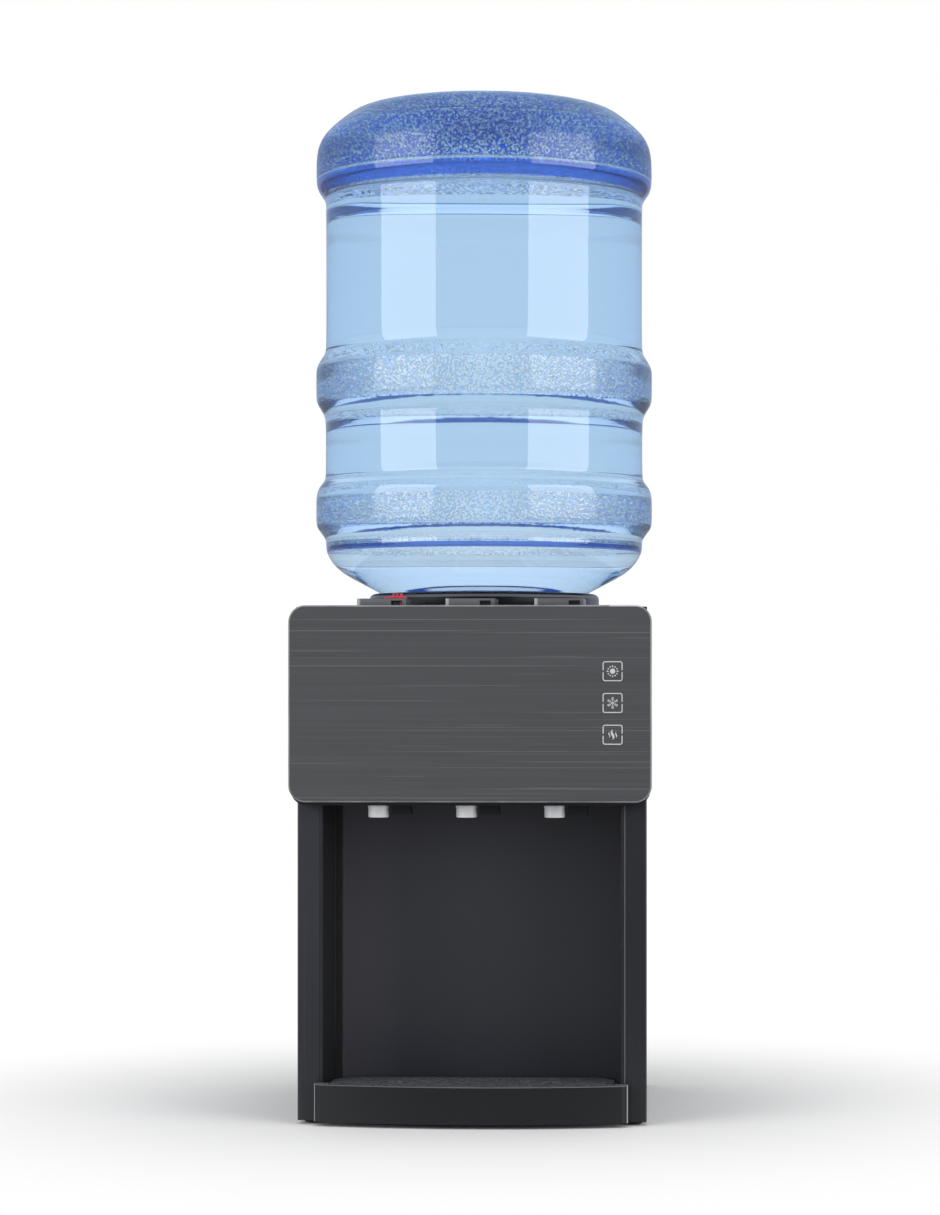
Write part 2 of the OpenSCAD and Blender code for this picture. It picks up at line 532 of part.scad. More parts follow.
module hot_tank_foam() {
  color([0.30, 0.30, 0.31]) translate([0, 55, 0]) difference() {
    translate([0, 0, 104]) cylinder(r = 52, h = 117);
    translate([0, 0, 109.8]) cylinder(r = 42.4, h = 105.4);
    translate([-18, 0, 200]) cylinder(r = 4.6, h = 30);
    translate([30, 0, 118]) rotate([0, 90, 0]) cylinder(r = 4.6, h = 30);
    translate([0, 0, 100]) cylinder(r = 4.6, h = 20);
    box(-11, 11, -60, -40, 138, 156);
  }
}
module hose(P, k = 4) { color([0.86, 0.86, 0.83]) sweep(smooth(P, k), 5, 10); }
module hot_hose() { hose([[taps_x[0], -92.5, 296], [taps_x[0], -88, 296], [-77, -78, 295.5], [-91, -58, 292], [-98, -20, 282], [-99, 20, 262], [-90, 44, 242], [-66, 55, 231], [-44, 55, 228], [-35, 55, 228], [-30.2, 55, 228]]); }
// Hoses from the cold tank to the ambient tap and to the cold tap
module cold_tank_hoses() { color([0.86, 0.86, 0.83]) { ycyl(taps_x[1], 296, 5, -92.9, -70.2); sweep(cold_route, 5, 10); } }
module feed_hose() { hose([[20, 40, 251.9], [20, 40, 248], [22, 38, 241], [34, 29, 233], [58, 24, 220], [70, 34, 190], [78, 48, 150], [77, 54, 127], [68, 55, 118.5], [61, 55, 118], [56.2, 55, 118]]); }
module drain_hose() { hose([[0, 55, 101.6], [0, 55, 97], [2, 57, 88], [12, 66, 72], [36, 88, 62], [60, 106, 60], [70, 119, 60], [70, 124, 60], [70, 127.9, 60]]); }

// ---------- electrics and rear fittings ----------
module power_board() {
  for (x = [-119, -62], y = [36, 112]) color([0.8, 0.7, 0.4]) translate([x, y, base_z+2.5]) cylinder(r = 3, h = 28.6);
  color([0.05, 0.28, 0.16]) box(-125, -57, 30, 124, 34, 35.6);
  color([0.9, 0.8, 0.2]) box(-118, -84, 45, 82, 35.5, 62);
  color([0.1, 0.1, 0.12]) for (y = [46, 60]) translate([-70, y, 35.5]) cylinder(r = 6, h = 24);
  color([0.6, 0.6, 0.62]) box(-70, -67, 74, 108, 35.5, 60);
  color([0.1, 0.3, 0.6]) box(-116, -100, 92, 112, 35.5, 50);
  color([0.9, 0.9, 0.9]) box(-94, -78, 112, 122, 35.5, 46);
}
module switch_housings() {
  color([0.05, 0.05, 0.05]) for (x = [-102, -74]) difference() {
    union() {
      box(x-6.5, x+6.5, 124, 143, 140.1, 159.9);
      box(x-8, x+8, 143.1, 145, 138, 162);
      box(x-6.5, x+6.5, 142, 144, 140.1, 159.9);
    }
    box(x-5.6, x+5.6, 130, 147, 141, 159);
    xcyl(140.5, 150, 1.3, x-6.2, x+6.2);
  }
}
module rocker(x, c) {
  color(c) translate([x, 140.5, 150]) rotate([8, 0, 0]) {
    rotate([90, 0, 90]) translate([0, 0, -5.2]) linear_extrude(10.4)
      polygon(concat([[5.5, -7.9], [3.9, 0], [5.5, 7.9], [3, 8]], arc([0, 0], 5.2, 60, 300, 12), [[3, -8]]));
    xcyl(0, 0, 1.24, -6.1, 6.1);
  }
}
module heating_rocker() { rocker(-102, [0.75, 0.08, 0.07]); }
module cooling_rocker() { rocker(-74, [0.08, 0.45, 0.18]); }
module drain_fitting() {
  color([0.15, 0.15, 0.16]) difference() {
    union() { ycyl(70, 60, 9, 128.1, 150); ycyl(70, 60, 13, 138.9, body_back-1.6); }
    ycyl(70, 60, 5, 120, 160);
  }
}
module drain_plug() {
  color([0.12, 0.12, 0.13]) {
    difference() {
      ycyl(70, 60, 12, body_back+0.5, 153);
      ycyl(70, 60, 9.3, body_back-1, 150.4);
      for (a = [0:30:330]) translate([70+12.6*cos(a), 140, 60+12.6*sin(a)]) rotate([-90, 0, 0]) cylinder(r = 1.3, h = 20);
    }
    ycyl(70, 60, 4.6, 146, 151);
  }
}
module mains_gland() {
  color([0.08, 0.08, 0.08]) difference() {
    union() {
      ycyl(-95, 45, 7, 138, 151);
      ycyl(-95, 45, 9.5, body_back+0.1, 145.5);
      ycyl(-95, 45, 8.4, 138, body_back-1.7);
    }
    ycyl(-95, 45, 3.6, 130, 155);
  }
}

base_pan();
rubber_feet();
side_panel(-1);  // left_side_panel
side_panel(1);  // right_side_panel
rear_panel();
rear_screws();
niche_liner();
head_shell();
front_fascia();
light_guides();
indicator_board();
top_cover();
bottle_collar();
bottle_probe();
probe_seal();
drip_tray();
drip_grille();
bottle();
bottle_neck();
bottle_cap();
key_hinge_rod();
key(keys_x[0], true);  // hot_key
child_lock();
key(keys_x[1]);  // ambient_key
key(keys_x[2]);  // cold_key
push_rod(taps_x[0]);  // hot_push_rod
push_rod(taps_x[1]);  // ambient_push_rod
push_rod(taps_x[2]);  // cold_push_rod
valve_seal(taps_x[0]);  // hot_valve_seal
valve_seal(taps_x[1]);  // ambient_valve_seal
valve_seal(taps_x[2]);  // cold_valve_seal
return_springs();
tap_body(taps_x[0]);  // hot_tap_body
tap_body(taps_x[1]);  // ambient_tap_body
tap_body(taps_x[2]);  // cold_tap_body
nozzle(taps_x[0]);  // hot_nozzle
nozzle(taps_x[1]);  // ambient_nozzle
nozzle(taps_x[2]);  // cold_nozzle
cold_tank();
cold_tank_lid();
cold_tank_foam();
cold_block();
peltier_module();
heat_sink();
fan_frame();
fan_rotor();
hot_tank();
band_heater();
hot_tank_foam();
hot_hose();
cold_tank_hoses();
feed_hose();
drain_hose();
power_board();
switch_housings();
heating_rocker();
cooling_rocker();
drain_fitting();
drain_plug();
mains_gland();
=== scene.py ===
import json
import math
import bpy
import bmesh
import numpy as np
from mathutils import Vector, Matrix


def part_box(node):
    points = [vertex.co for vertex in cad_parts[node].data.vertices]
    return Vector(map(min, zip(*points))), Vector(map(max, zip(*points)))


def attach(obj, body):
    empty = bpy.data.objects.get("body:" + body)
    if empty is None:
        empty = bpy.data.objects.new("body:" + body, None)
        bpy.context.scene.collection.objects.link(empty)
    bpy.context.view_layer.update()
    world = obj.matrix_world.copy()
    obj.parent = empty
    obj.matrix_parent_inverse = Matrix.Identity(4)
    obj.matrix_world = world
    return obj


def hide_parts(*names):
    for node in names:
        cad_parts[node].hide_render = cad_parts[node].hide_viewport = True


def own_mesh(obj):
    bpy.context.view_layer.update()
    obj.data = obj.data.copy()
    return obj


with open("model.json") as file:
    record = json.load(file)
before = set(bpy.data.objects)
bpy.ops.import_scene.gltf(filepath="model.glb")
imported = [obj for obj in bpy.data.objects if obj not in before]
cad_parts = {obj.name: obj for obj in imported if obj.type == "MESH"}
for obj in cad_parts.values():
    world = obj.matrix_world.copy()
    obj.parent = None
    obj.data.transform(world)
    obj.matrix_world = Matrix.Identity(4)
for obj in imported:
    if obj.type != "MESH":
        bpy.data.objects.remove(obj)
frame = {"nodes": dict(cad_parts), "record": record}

scene = bpy.context.scene
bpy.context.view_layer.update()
MM = 0.001
rng = np.random.RandomState(7)


# ---------------------------------------------------------------- camera
cam_data = bpy.data.cameras.new("camera")
cam = bpy.data.objects.new("camera", cam_data)
scene.collection.objects.link(cam)
cam_data.sensor_fit = "AUTO"
cam_data.sensor_width = 36.0
cam_data.lens = 97.78
cam_data.shift_x = -0.1100
cam_data.shift_y = 0.0679
cam_data.clip_start, cam_data.clip_end = 0.1, 200
yaw = math.radians(2.5)
look = Vector((-math.sin(yaw), math.cos(yaw), 0))
cam.location = (0.215, -2.69, 0.339)
cam.rotation_mode = "QUATERNION"
cam.rotation_quaternion = look.to_track_quat("-Z", "Y")
scene.camera = cam
scene.view_settings.view_transform = "Standard"
scene.cycles.max_bounces = 24
scene.cycles.transmission_bounces = 24
scene.cycles.transparent_max_bounces = 16


# ---------------------------------------------------------------- node helpers
def material(name):
    m = bpy.data.materials.new(name)
    m.use_nodes = True
    m.node_tree.nodes.clear()
    return m


class Net:
    """Short hand for building a node tree."""

    def __init__(self, m):
        self.t = m.node_tree

    def add(self, kind, **given):
        n = self.t.nodes.new(kind)
        for k, v in given.items():
            if hasattr(n, k) and k not in n.inputs.keys():
                setattr(n, k, v)
            else:
                self.put(n, k, v)
        return n

    def put(self, n, socket, v):
        s = n.inputs[socket]
        if isinstance(v, bpy.types.NodeSocket):
            self.t.links.new(v, s)
        elif isinstance(v, bpy.types.Node):
            self.t.links.new(v.outputs[0], s)
        elif isinstance(v, (tuple, list)) and len(v) == 3 and s.type == "RGBA":
            s.default_value = (*v, 1)
        else:
            s.default_value = v

    def coords(self, scale=(1, 1, 1), rot=(0, 0, 0), loc=(0, 0, 0)):
        tc = self.t.nodes.new("ShaderNodeTexCoord")
        mp = self.t.nodes.new("ShaderNodeMapping")
        mp.inputs["Scale"].default_value = scale
        mp.inputs["Rotation"].default_value = rot
        mp.inputs["Location"].default_value = loc
        self.t.links.new(tc.outputs["Object"], mp.inputs["Vector"])
        return mp.outputs[0]

    def noise(self, scale, detail=3.0, rough=0.55, vec=None, **kw):
        n = self.t.nodes.new("ShaderNodeTexNoise")
        n.inputs["Scale"].default_value = scale
        n.inputs["Detail"].default_value = detail
        n.inputs["Roughness"].default_value = rough
        self.t.links.new(vec if vec is not None else self.coords(), n.inputs["Vector"])
        return n.outputs[0]

    def ramp(self, fac, stops):
        n = self.t.nodes.new("ShaderNodeValToRGB")
        e = n.color_ramp.elements
        while len(e) > 1:
            e.remove(e[-1])
        e[0].position, first = stops[0][0], stops[0][1]
        e[0].color = (*first, 1) if isinstance(first, (tuple, list)) else (first, first, first, 1)
        for p, c in stops[1:]:
            k = e.new(p)
            k.color = (*c, 1) if isinstance(c, (tuple, list)) else (c, c, c, 1)
        self.t.links.new(fac, n.inputs[0])
        return n.outputs[0]

    def mix(self, fac, a, b, blend="MIX"):
        n = self.t.nodes.new("ShaderNodeMix")
        n.data_type, n.blend_type = "RGBA", blend
        for s, v in ((n.inputs[0], fac), (n.inputs[6], a), (n.inputs[7], b)):
            if isinstance(v, bpy.types.NodeSocket):
                self.t.links.new(v, s)
            elif isinstance(v, (tuple, list)):
                s.default_value = (*v, 1)
            else:
                s.default_value = v
        return n.outputs[2]

    def math(self, op, a, b=None, c=None):
        n = self.t.nodes.new("ShaderNodeMath")
        n.operation = op
        for i, v in enumerate((a, b, c)):
            if v is None:
                continue
            if isinstance(v, bpy.types.NodeSocket):
                self.t.links.new(v, n.inputs[i])
            else:
                n.inputs[i].default_value = v
        return n.outputs[0]

    def bump(self, height, distance, strength=1.0, normal=None):
        n = self.t.nodes.new("ShaderNodeBump")
        n.inputs["Strength"].default_value = strength
        n.inputs["Distance"].default_value = distance
        self.t.links.new(height, n.inputs["Height"])
        if normal is not None:
            self.t.links.new(normal, n.inputs["Normal"])
        return n.outputs[0]

    def principled(self, **kw):
        n = self.t.nodes.new("ShaderNodeBsdfPrincipled")
        for k, v in kw.items():
            self.put(n, k.replace("_", " "), v)
        out = self.t.nodes.new("ShaderNodeOutputMaterial")
        self.t.links.new(n.outputs[0], out.inputs["Surface"])
        return n, out


def lin(r, g, b):
    """sRGB 0-255 to scene linear."""
    def f(c):
        c = c / 255
        return c / 12.92 if c <= 0.04045 else ((c + 0.055) / 1.055) ** 2.4
    return (f(r), f(g), f(b))


def moulded(name, colour, rough=0.42, grain=0.00003, grain_scale=2600, vary=0.12, rough_vary=0.08, spec=0.5, sss=0.0, coat=0.0):
    """Moulded plastic: a fine spark-eroded grain, slow colour and gloss changes."""
    m = material(name)
    n = Net(m)
    slow = n.noise(14, 3)
    fine = n.noise(grain_scale, 2)
    c = n.mix(n.ramp(slow, [(0.3, 0.0), (0.72, 1.0)]), tuple(x * (1 - vary) for x in colour), tuple(min(1, x * (1 + vary)) for x in colour))
    r = n.math("ADD", rough - rough_vary / 2, n.math("MULTIPLY", n.noise(38, 4), rough_vary))
    nrm = n.bump(fine, grain, 0.6)
    p, _ = n.principled(Base_Color=c, Roughness=r, Normal=nrm)
    p.inputs["Specular IOR Level"].default_value = spec
    if sss:
        p.inputs["Subsurface Weight"].default_value = sss
        p.inputs["Subsurface Radius"].default_value = (0.002, 0.002, 0.002)
    if coat:
        p.inputs["Coat Weight"].default_value = coat
        p.inputs["Coat Roughness"].default_value = 0.08
    return m


def metal(name, colour, rough=0.3, stretch=(1, 1, 60), scale=40, vary=0.15):
    m = material(name)
    n = Net(m)
    v = n.coords(scale=stretch)
    grain = n.noise(scale, 5, 0.6, vec=v)
    c = n.mix(grain, tuple(x * (1 - vary) for x in colour), tuple(min(1, x * (1 + vary * 0.6)) for x in colour))
    r = n.math("ADD", rough - 0.06, n.math("MULTIPLY", n.noise(25, 4), 0.12))
    nrm = n.bump(grain, 0.00002, 0.5)
    p, _ = n.principled(Base_Color=c, Roughness=r, Normal=nrm)
    p.inputs["Metallic"].default_value = 1.0
    return m


# ---------------------------------------------------------------- world, lights, floor
world = bpy.data.worlds.new("studio")
scene.world = world
world.use_nodes = True
wt = world.node_tree
wt.nodes.clear()


def wnode(kind, **given):
    n_ = wt.nodes.new(kind)
    for k_, v_ in given.items():
        setattr(n_, k_, v_)
    return n_


def wmix(fac, a, b):
    """A colour mix in the world's tree."""
    n_ = wnode("ShaderNodeMix", data_type="RGBA")
    wt.links.new(fac, n_.inputs[0])
    for s_, v_ in ((n_.inputs[6], a), (n_.inputs[7], b)):
        if isinstance(v_, tuple):
            s_.default_value = (*v_, 1)
        else:
            wt.links.new(v_, s_)
    return n_.outputs[2]


# The white backdrop ends a little above the object and a white ceiling panel starts higher up. The dark room between them
# is what the bottle's crown and steps pick up.
lp = wnode("ShaderNodeLightPath")
tcw = wnode("ShaderNodeTexCoord")
sep = wnode("ShaderNodeSeparateXYZ")
wt.links.new(tcw.outputs["Generated"], sep.inputs[0])
edges = []
for lo_, hi_ in ((0.283, 0.298), (0.318, 0.335)):  # sines of elevation
    e_ = wnode("ShaderNodeMapRange", interpolation_type="SMOOTHSTEP")
    wt.links.new(sep.outputs["Z"], e_.inputs["Value"])
    e_.inputs["From Min"].default_value, e_.inputs["From Max"].default_value = lo_, hi_
    edges.append(e_.outputs[0])
gap_ = wnode("ShaderNodeMath", operation="SUBTRACT")
wt.links.new(edges[0], gap_.inputs[0]); wt.links.new(edges[1], gap_.inputs[1])
above = wmix(edges[1], (1.0, 1.0, 1.0), (1.22, 1.25, 1.32))
through = wmix(gap_.outputs[0], above, (0.04, 0.10, 0.42))
gl_ = wnode("ShaderNodeMath", operation="MAXIMUM")
wt.links.new(lp.outputs["Is Glossy Ray"], gl_.inputs[0]); wt.links.new(lp.outputs["Is Singular Ray"], gl_.inputs[1])
seen = wmix(gl_.outputs[0], (0.30, 0.30, 0.30), wmix(edges[1], (0.43, 0.52, 0.70), (0.66, 0.86, 1.16)))
seen = wmix(lp.outputs["Is Transmission Ray"], seen, through)
seen = wmix(lp.outputs["Is Camera Ray"], seen, (1.0, 1.0, 1.0))
bg = wt.nodes.new("ShaderNodeBackground")
wt.links.new(seen, bg.inputs["Color"])
wo = wt.nodes.new("ShaderNodeOutputWorld")
wt.links.new(bg.outputs[0], wo.inputs["Surface"])


def softbox(name, azimuth, distance, z, width, height, radiance, tilt=0.0):
    """A flat light at azimuth degrees from the front (-Y), positive towards +X, facing the middle."""
    d = bpy.data.lights.new(name, "AREA")
    d.shape, d.size, d.size_y = "RECTANGLE", width, height
    d.energy = radiance * math.pi * width * height
    o = bpy.data.objects.new(name, d)
    scene.collection.objects.link(o)
    a = math.radians(azimuth)
    o.location = (math.sin(a) * distance, -math.cos(a) * distance, z)
    aim = Vector((-math.sin(a), math.cos(a), math.tan(math.radians(tilt))))
    o.rotation_mode = "QUATERNION"
    o.rotation_quaternion = aim.to_track_quat("-Z", "Y")
    o.visible_camera = False
    o.visible_transmission = False
    return o


softbox("softbox_left", -51.6, 2.5, 0.97, 2.02, 1.84, 3.1)
softbox("softbox_right", 59.5, 2.5, 0.97, 2.26, 1.84, 3.1)
top = softbox("softbox_top", 0, 0.3, 3.0, 1.8, 1.8, 3.0)
top.visible_glossy = False
top.rotation_quaternion = Vector((0.0, 0.08, -1)).to_track_quat("-Z", "Y")

bm = bmesh.new()
bmesh.ops.create_circle(bm, cap_ends=True, radius=25, segments=96)
fm = bpy.data.meshes.new("floor")
bm.to_mesh(fm); bm.free()
floor = bpy.data.objects.new("floor", fm)
scene.collection.objects.link(floor)
m = material("floor")
n = Net(m)
diff = n.add("ShaderNodeBsdfDiffuse")
diff.inputs["Color"].default_value = (0.93, 0.93, 0.93, 1)
em = n.add("ShaderNodeEmission")
em.inputs["Color"].default_value = (1, 1, 1, 1)
lp2 = n.add("ShaderNodeLightPath")
see = n.math("MAXIMUM", lp2.outputs["Is Camera Ray"], lp2.outputs["Is Transmission Ray"])
n.t.links.new(n.math("ADD", 0.30, n.math("MULTIPLY", see, 0.70)), em.inputs["Strength"])
dist = n.add("ShaderNodeVectorMath", operation="LENGTH")
tc = n.add("ShaderNodeTexCoord")
n.t.links.new(tc.outputs["Object"], dist.inputs[0])
fade = n.add("ShaderNodeMapRange", interpolation_type="SMOOTHSTEP")
n.t.links.new(dist.outputs["Value"], fade.inputs["Value"])
fade.inputs["From Min"].default_value = 0.13
fade.inputs["From Max"].default_value = 0.60
ms = n.add("ShaderNodeMixShader")
n.t.links.new(fade.outputs[0], ms.inputs[0])
n.t.links.new(diff.outputs[0], ms.inputs[1])
n.t.links.new(em.outputs[0], ms.inputs[2])
out = n.add("ShaderNodeOutputMaterial")
n.t.links.new(ms.outputs[0], out.inputs["Surface"])
fm.materials.append(m)


# ---------------------------------------------------------------- mesh helpers
def mesh_piece(name, verts, faces, mats, body="housing", sharp=35.0, face_mats=None, replaces=()):
    me = bpy.data.meshes.new(name)
    me.from_pydata([tuple(v) for v in verts], [], [tuple(f) for f in faces])
    me.validate()
    for m_ in (mats if isinstance(mats, (list, tuple)) else [mats]):
        me.materials.append(m_)
    if face_mats is not None:
        me.polygons.foreach_set("material_index", np.asarray(face_mats, np.int32))
    me.shade_smooth()
    if sharp is not None:
        me.set_sharp_from_angle(angle=math.radians(sharp))
    me.update()
    o = bpy.data.objects.new(name, me)
    scene.collection.objects.link(o)
    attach(o, body)
    if replaces:
        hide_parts(*replaces)
    return o


def ring(n):
    a = np.linspace(0, 2 * np.pi, n, endpoint=False)
    return np.cos(a), np.sin(a)


def chaikin(p, times=2):
    p = np.asarray(p, float)
    for _ in range(times):
        a, b = p[:-1], p[1:]
        q = np.empty((2 * len(a), 2))
        q[0::2] = a * 0.75 + b * 0.25
        q[1::2] = a * 0.25 + b * 0.75
        p = np.vstack([p[:1], q[1:-1], p[-1:]])
    return p


def resample(p, step):
    """Points along the polyline p, spaced by step(arc length, point) mm."""
    d = np.r_[0, np.cumsum(np.hypot(*np.diff(p, axis=0).T))]
    s = np.linspace(0, d[-1], 6000)
    x, y = np.interp(s, d, p[:, 0]), np.interp(s, d, p[:, 1])
    t = np.unwrap(np.arctan2(np.gradient(y, s), np.gradient(x, s)))
    k = np.abs(np.gradient(t, s))
    k = np.convolve(k, np.ones(41) / 41, "same")
    dens = np.array([1 / step(a, b, c) for a, b, c in zip(x, y, k)])
    cum = np.r_[0, np.cumsum((dens[1:] + dens[:-1]) / 2 * np.diff(s))]
    m_ = int(math.ceil(cum[-1]))
    u = np.linspace(0, cum[-1], m_ + 1)
    ss = np.interp(u, cum, s)
    return np.c_[np.interp(ss, s, x), np.interp(ss, s, y)]


# ---------------------------------------------------------------- bottle
b_lo, b_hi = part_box("bottle")
k_lo, k_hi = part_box("bottle_neck")
BAND = b_hi.x / MM
TOP = b_hi.z / MM
MOUTH = k_lo.z / MM
BARREL = BAND - 8.0
WALL = 1.6
NECK = 27.5
LEVEL = 792.0  # the water's surface


def cone_z(r):
    return 387.2 + (r - NECK) * 0.533


def meridian(i):
    B, S, T, nn = BAND - i, BARREL - i, TOP - i, NECK - i
    return [
        [0, T - 3], [70, T - 3], [76, T - 1], [82, T], [93 - i * 0.5, T], [102 - i * 0.7, T - 1.8], [109 - i * 0.75, T - 5], [116 - i * 0.8, T - 10],
        [125 - i * 0.85, T - 17.5], [131 - i * 0.9, 788 - i * 0.4], [134.6 - i, 781 - i * 0.2], [136.2 - i, 773.5], [B - 0.2, 765], [B - 0.2, 752],
        [B - 0.7, 748.5], [B - 2.2, 744.6], [B - 5.5, 740.3], [S + 0.4, 736.5], [S, 731],
        [S - 0.2, 622], [S + 0.6, 613], [S + 3, 609], [B - 2.2, 604.6], [B - 0.5, 601], [B, 597], [B, 576.5], [B - 0.8, 572.3], [B - 3.2, 567.8],
        [S + 1.6, 562.6], [S + 0.2, 557], [S + 0.2, 514], [S + 1.4, 508.5], [B - 2.3, 503.5], [B - 0.6, 499], [B, 494.5], [B, 474.5], [B - 1.1, 470.5],
        [B - 4.6, 466], [S + 0.7, 462], [S + 0.1, 459], [S - 0.1, 452.5], [S - 1.5 - i * 0.1, 448.6 + i * 0.1], [S - 3.7 - i * 0.1, 444.6 + i * 0.2], [S - 7.2 - i * 0.05, 440 + i * 0.5],
        [116 - i * 0.7, 434.8 + i * 0.7], [108.4 - i * 0.6, 430.2 + i * 0.8], [98.8 - i * 0.5, 425.2 + i], [60 - i * 0.5, cone_z(60) + i],
        [nn + 3 + i * 0.3, cone_z(NECK + 3) + i], [nn + 0.6, 386.6 + i * 0.4], [nn, 383.5], [nn, 359], [nn + (1.5 if i == 0 else 0), 357.4], [nn + (1.5 if i == 0 else 0), 355.6],
        [nn, 354], [nn, MOUTH]]


def inner_meridian():
    """The wall is thicker at the base of the bottle, which is its crown here."""
    thin, thick = np.array(meridian(WALL)), np.array(meridian(CROWN_WALL))
    z = np.array(meridian(0))[:, 1]
    w = np.clip((z - 733) / 12, 0, 1)[:, None]
    return thin * (1 - w) + thick * w


def pebbled(r, z):
    """How much of the pebble texture a point on the outer skin carries, 0 to 1."""
    def band(v, a, b, soft):
        return np.clip((v - a) / soft, 0, 1) * np.clip((b - v) / soft, 0, 1)
    crown = np.where(z > 740, np.clip((z - 753.5) / 2.0, 0, 1) * np.clip((r - 90) / 4.0, 0, 1), 0)
    return np.clip(crown + 0.75 * (band(z, 569.2, 601.0, 1.2) + band(z, 465.5, 494.2, 1.2)), 0, 1)


def outer_step(r, z, k):
    t = float(pebbled(r, z))
    plain = min(9.0, max(1.3, 0.16 / (k + 1e-6)))
    return 1.2 if t > 0 else plain


CROWN_WALL = 2.0
NS, NI = 600, 120
po = resample(chaikin(meridian(0), 2), outer_step)
pi_ = resample(chaikin(inner_meridian(), 2), lambda r, z, k: min(12.0, max(1.6, 0.3 / (k + 1e-6))))


def worley(u, v, cell, seed, period):
    """Distance to the nearest and second nearest of jittered points on a grid of that cell, over arrays; u repeats every period."""
    r_ = np.random.RandomState(seed)
    nu, nv = int(round(period / cell)), int(math.ceil((v.max() - v.min()) / cell)) + 6
    cu, v0 = period / nu, v.min() - 2 * cell
    ju, jv = r_.rand(nu, nv), r_.rand(nu, nv)
    iu, iv = np.floor(u / cu).astype(int), np.floor((v - v0) / cell).astype(int)
    best = np.full(u.shape, 1e9)
    second = best.copy()
    for a in (-1, 0, 1):
        for b in (-1, 0, 1):
            x, y = iu + a, iv + b
            xm, ym = x % nu, np.clip(y, 0, nv - 1)
            du = (x + 0.15 + 0.7 * ju[xm, ym]) * cu - u
            dv = (y + 0.15 + 0.7 * jv[xm, ym]) * cell + v0 - v
            d = np.hypot(du, dv)
            second = np.minimum(second, np.maximum(best, d))
            best = np.minimum(best, d)
    return best, second


class Rings:
    """A body of revolution built from rings of differing numbers of points."""

    def __init__(self):
        self.verts, self.faces, self.mats = [], [], []

    def ring(self, r, z, n):
        cc, ss = ring(n)
        at = len(self.verts)
        rr, zz = np.broadcast_to(r, (n,)), np.broadcast_to(z, (n,))
        self.verts.extend(np.c_[rr * cc, rr * ss, zz].tolist())
        return at, n

    def tri(self, f, mat_, flip):
        self.faces.append(f[::-1] if flip else f)
        self.mats.append(mat_)

    def pole(self, z, first, mat_=0, flip=False):
        at = len(self.verts)
        self.verts.append((0, 0, z))
        a, n = first
        for j in range(n):
            self.tri((at, a + j, a + (j + 1) % n), mat_, flip)

    def join(self, upper, lower, mat_=0, flip=False):
        (a, na), (b, nb) = upper, lower
        if na == nb:
            for j in range(na):
                k = (j + 1) % na
                self.tri((a + j, b + j, b + k, a + k), mat_, flip)
            return
        (coarse, n), (fine, m_) = ((a, na), (b, nb)) if na < nb else ((b, nb), (a, na))
        flip = flip != (na > nb)
        ratio = m_ // n
        half = ratio // 2
        for j in range(n):
            k = (j + 1) % n
            row = [fine + (j * ratio + q) % m_ for q in range(ratio + 1)]
            for q in range(half):
                self.tri((coarse + j, row[q], row[q + 1]), mat_, flip)
            self.tri((coarse + j, row[half], coarse + k), mat_, flip)
            for q in range(half, ratio):
                self.tri((coarse + k, row[q], row[q + 1]), mat_, flip)


def build_bottle(mat_):
    seg = np.r_[0, np.cumsum(np.hypot(*np.diff(po, axis=0).T))]
    tang = np.gradient(po, seg, axis=0)
    nrm = np.c_[-tang[:, 1], tang[:, 0]]
    nrm /= np.linalg.norm(nrm, axis=1)[:, None]
    if nrm[len(nrm) // 2, 0] < 0:
        nrm = -nrm
    amount = pebbled(po[:, 0], po[:, 1])
    ang = np.linspace(0, 2 * np.pi, NS, endpoint=False)
    U, V = np.meshgrid(ang * BAND, seg)
    f1, f2 = worley(U, V, 2.5, 11, 2 * np.pi * BAND)
    g1, g2 = worley(U + 1.3, V + 0.7, 5.2, 12, 2 * np.pi * BAND)
    h = np.clip((f2 - f1) / 1.1, 0, 1) - 0.55 + 0.4 * (np.clip((g2 - g1) / 2.6, 0, 1) - 0.5)
    disp = PEBBLE * h * amount[:, None]
    R = Rings()
    rows = []
    for i in range(1, len(po)):
        near = amount[max(0, i - 1):i + 2].max() > 0
        if near:
            rows.append(R.ring(po[i, 0] + nrm[i, 0] * disp[i], po[i, 1] + nrm[i, 1] * disp[i], NS))
        else:
            rows.append(R.ring(po[i, 0], po[i, 1], NI))
    R.pole(po[0, 1], rows[0])
    for a, b in zip(rows[:-1], rows[1:]):
        R.join(a, b)
    outer_count = len(R.verts)
    inn = [R.ring(p[0], p[1], NI) for p in pi_[1:]]
    R.pole(pi_[0, 1], inn[0], 0, True)
    for a, b in zip(inn[:-1], inn[1:]):
        R.join(a, b, 0, True)
    R.join(rows[-1], inn[-1])  # lip of the mouth
    v = np.array(R.verts) * MM
    print("bottle triangles", sum(len(f) - 2 for f in R.faces))
    o = mesh_piece("bottle_shell", v, R.faces, [mat_], "bottle", sharp=None, replaces=("bottle", "bottle_neck"))
    skin = o.data.attributes.new("skin", "FLOAT", "POINT")  # 1 on the outer skin, 0 on the inner
    skin.data.foreach_set("value", (np.arange(len(v)) < outer_count).astype(np.float32))
    return o


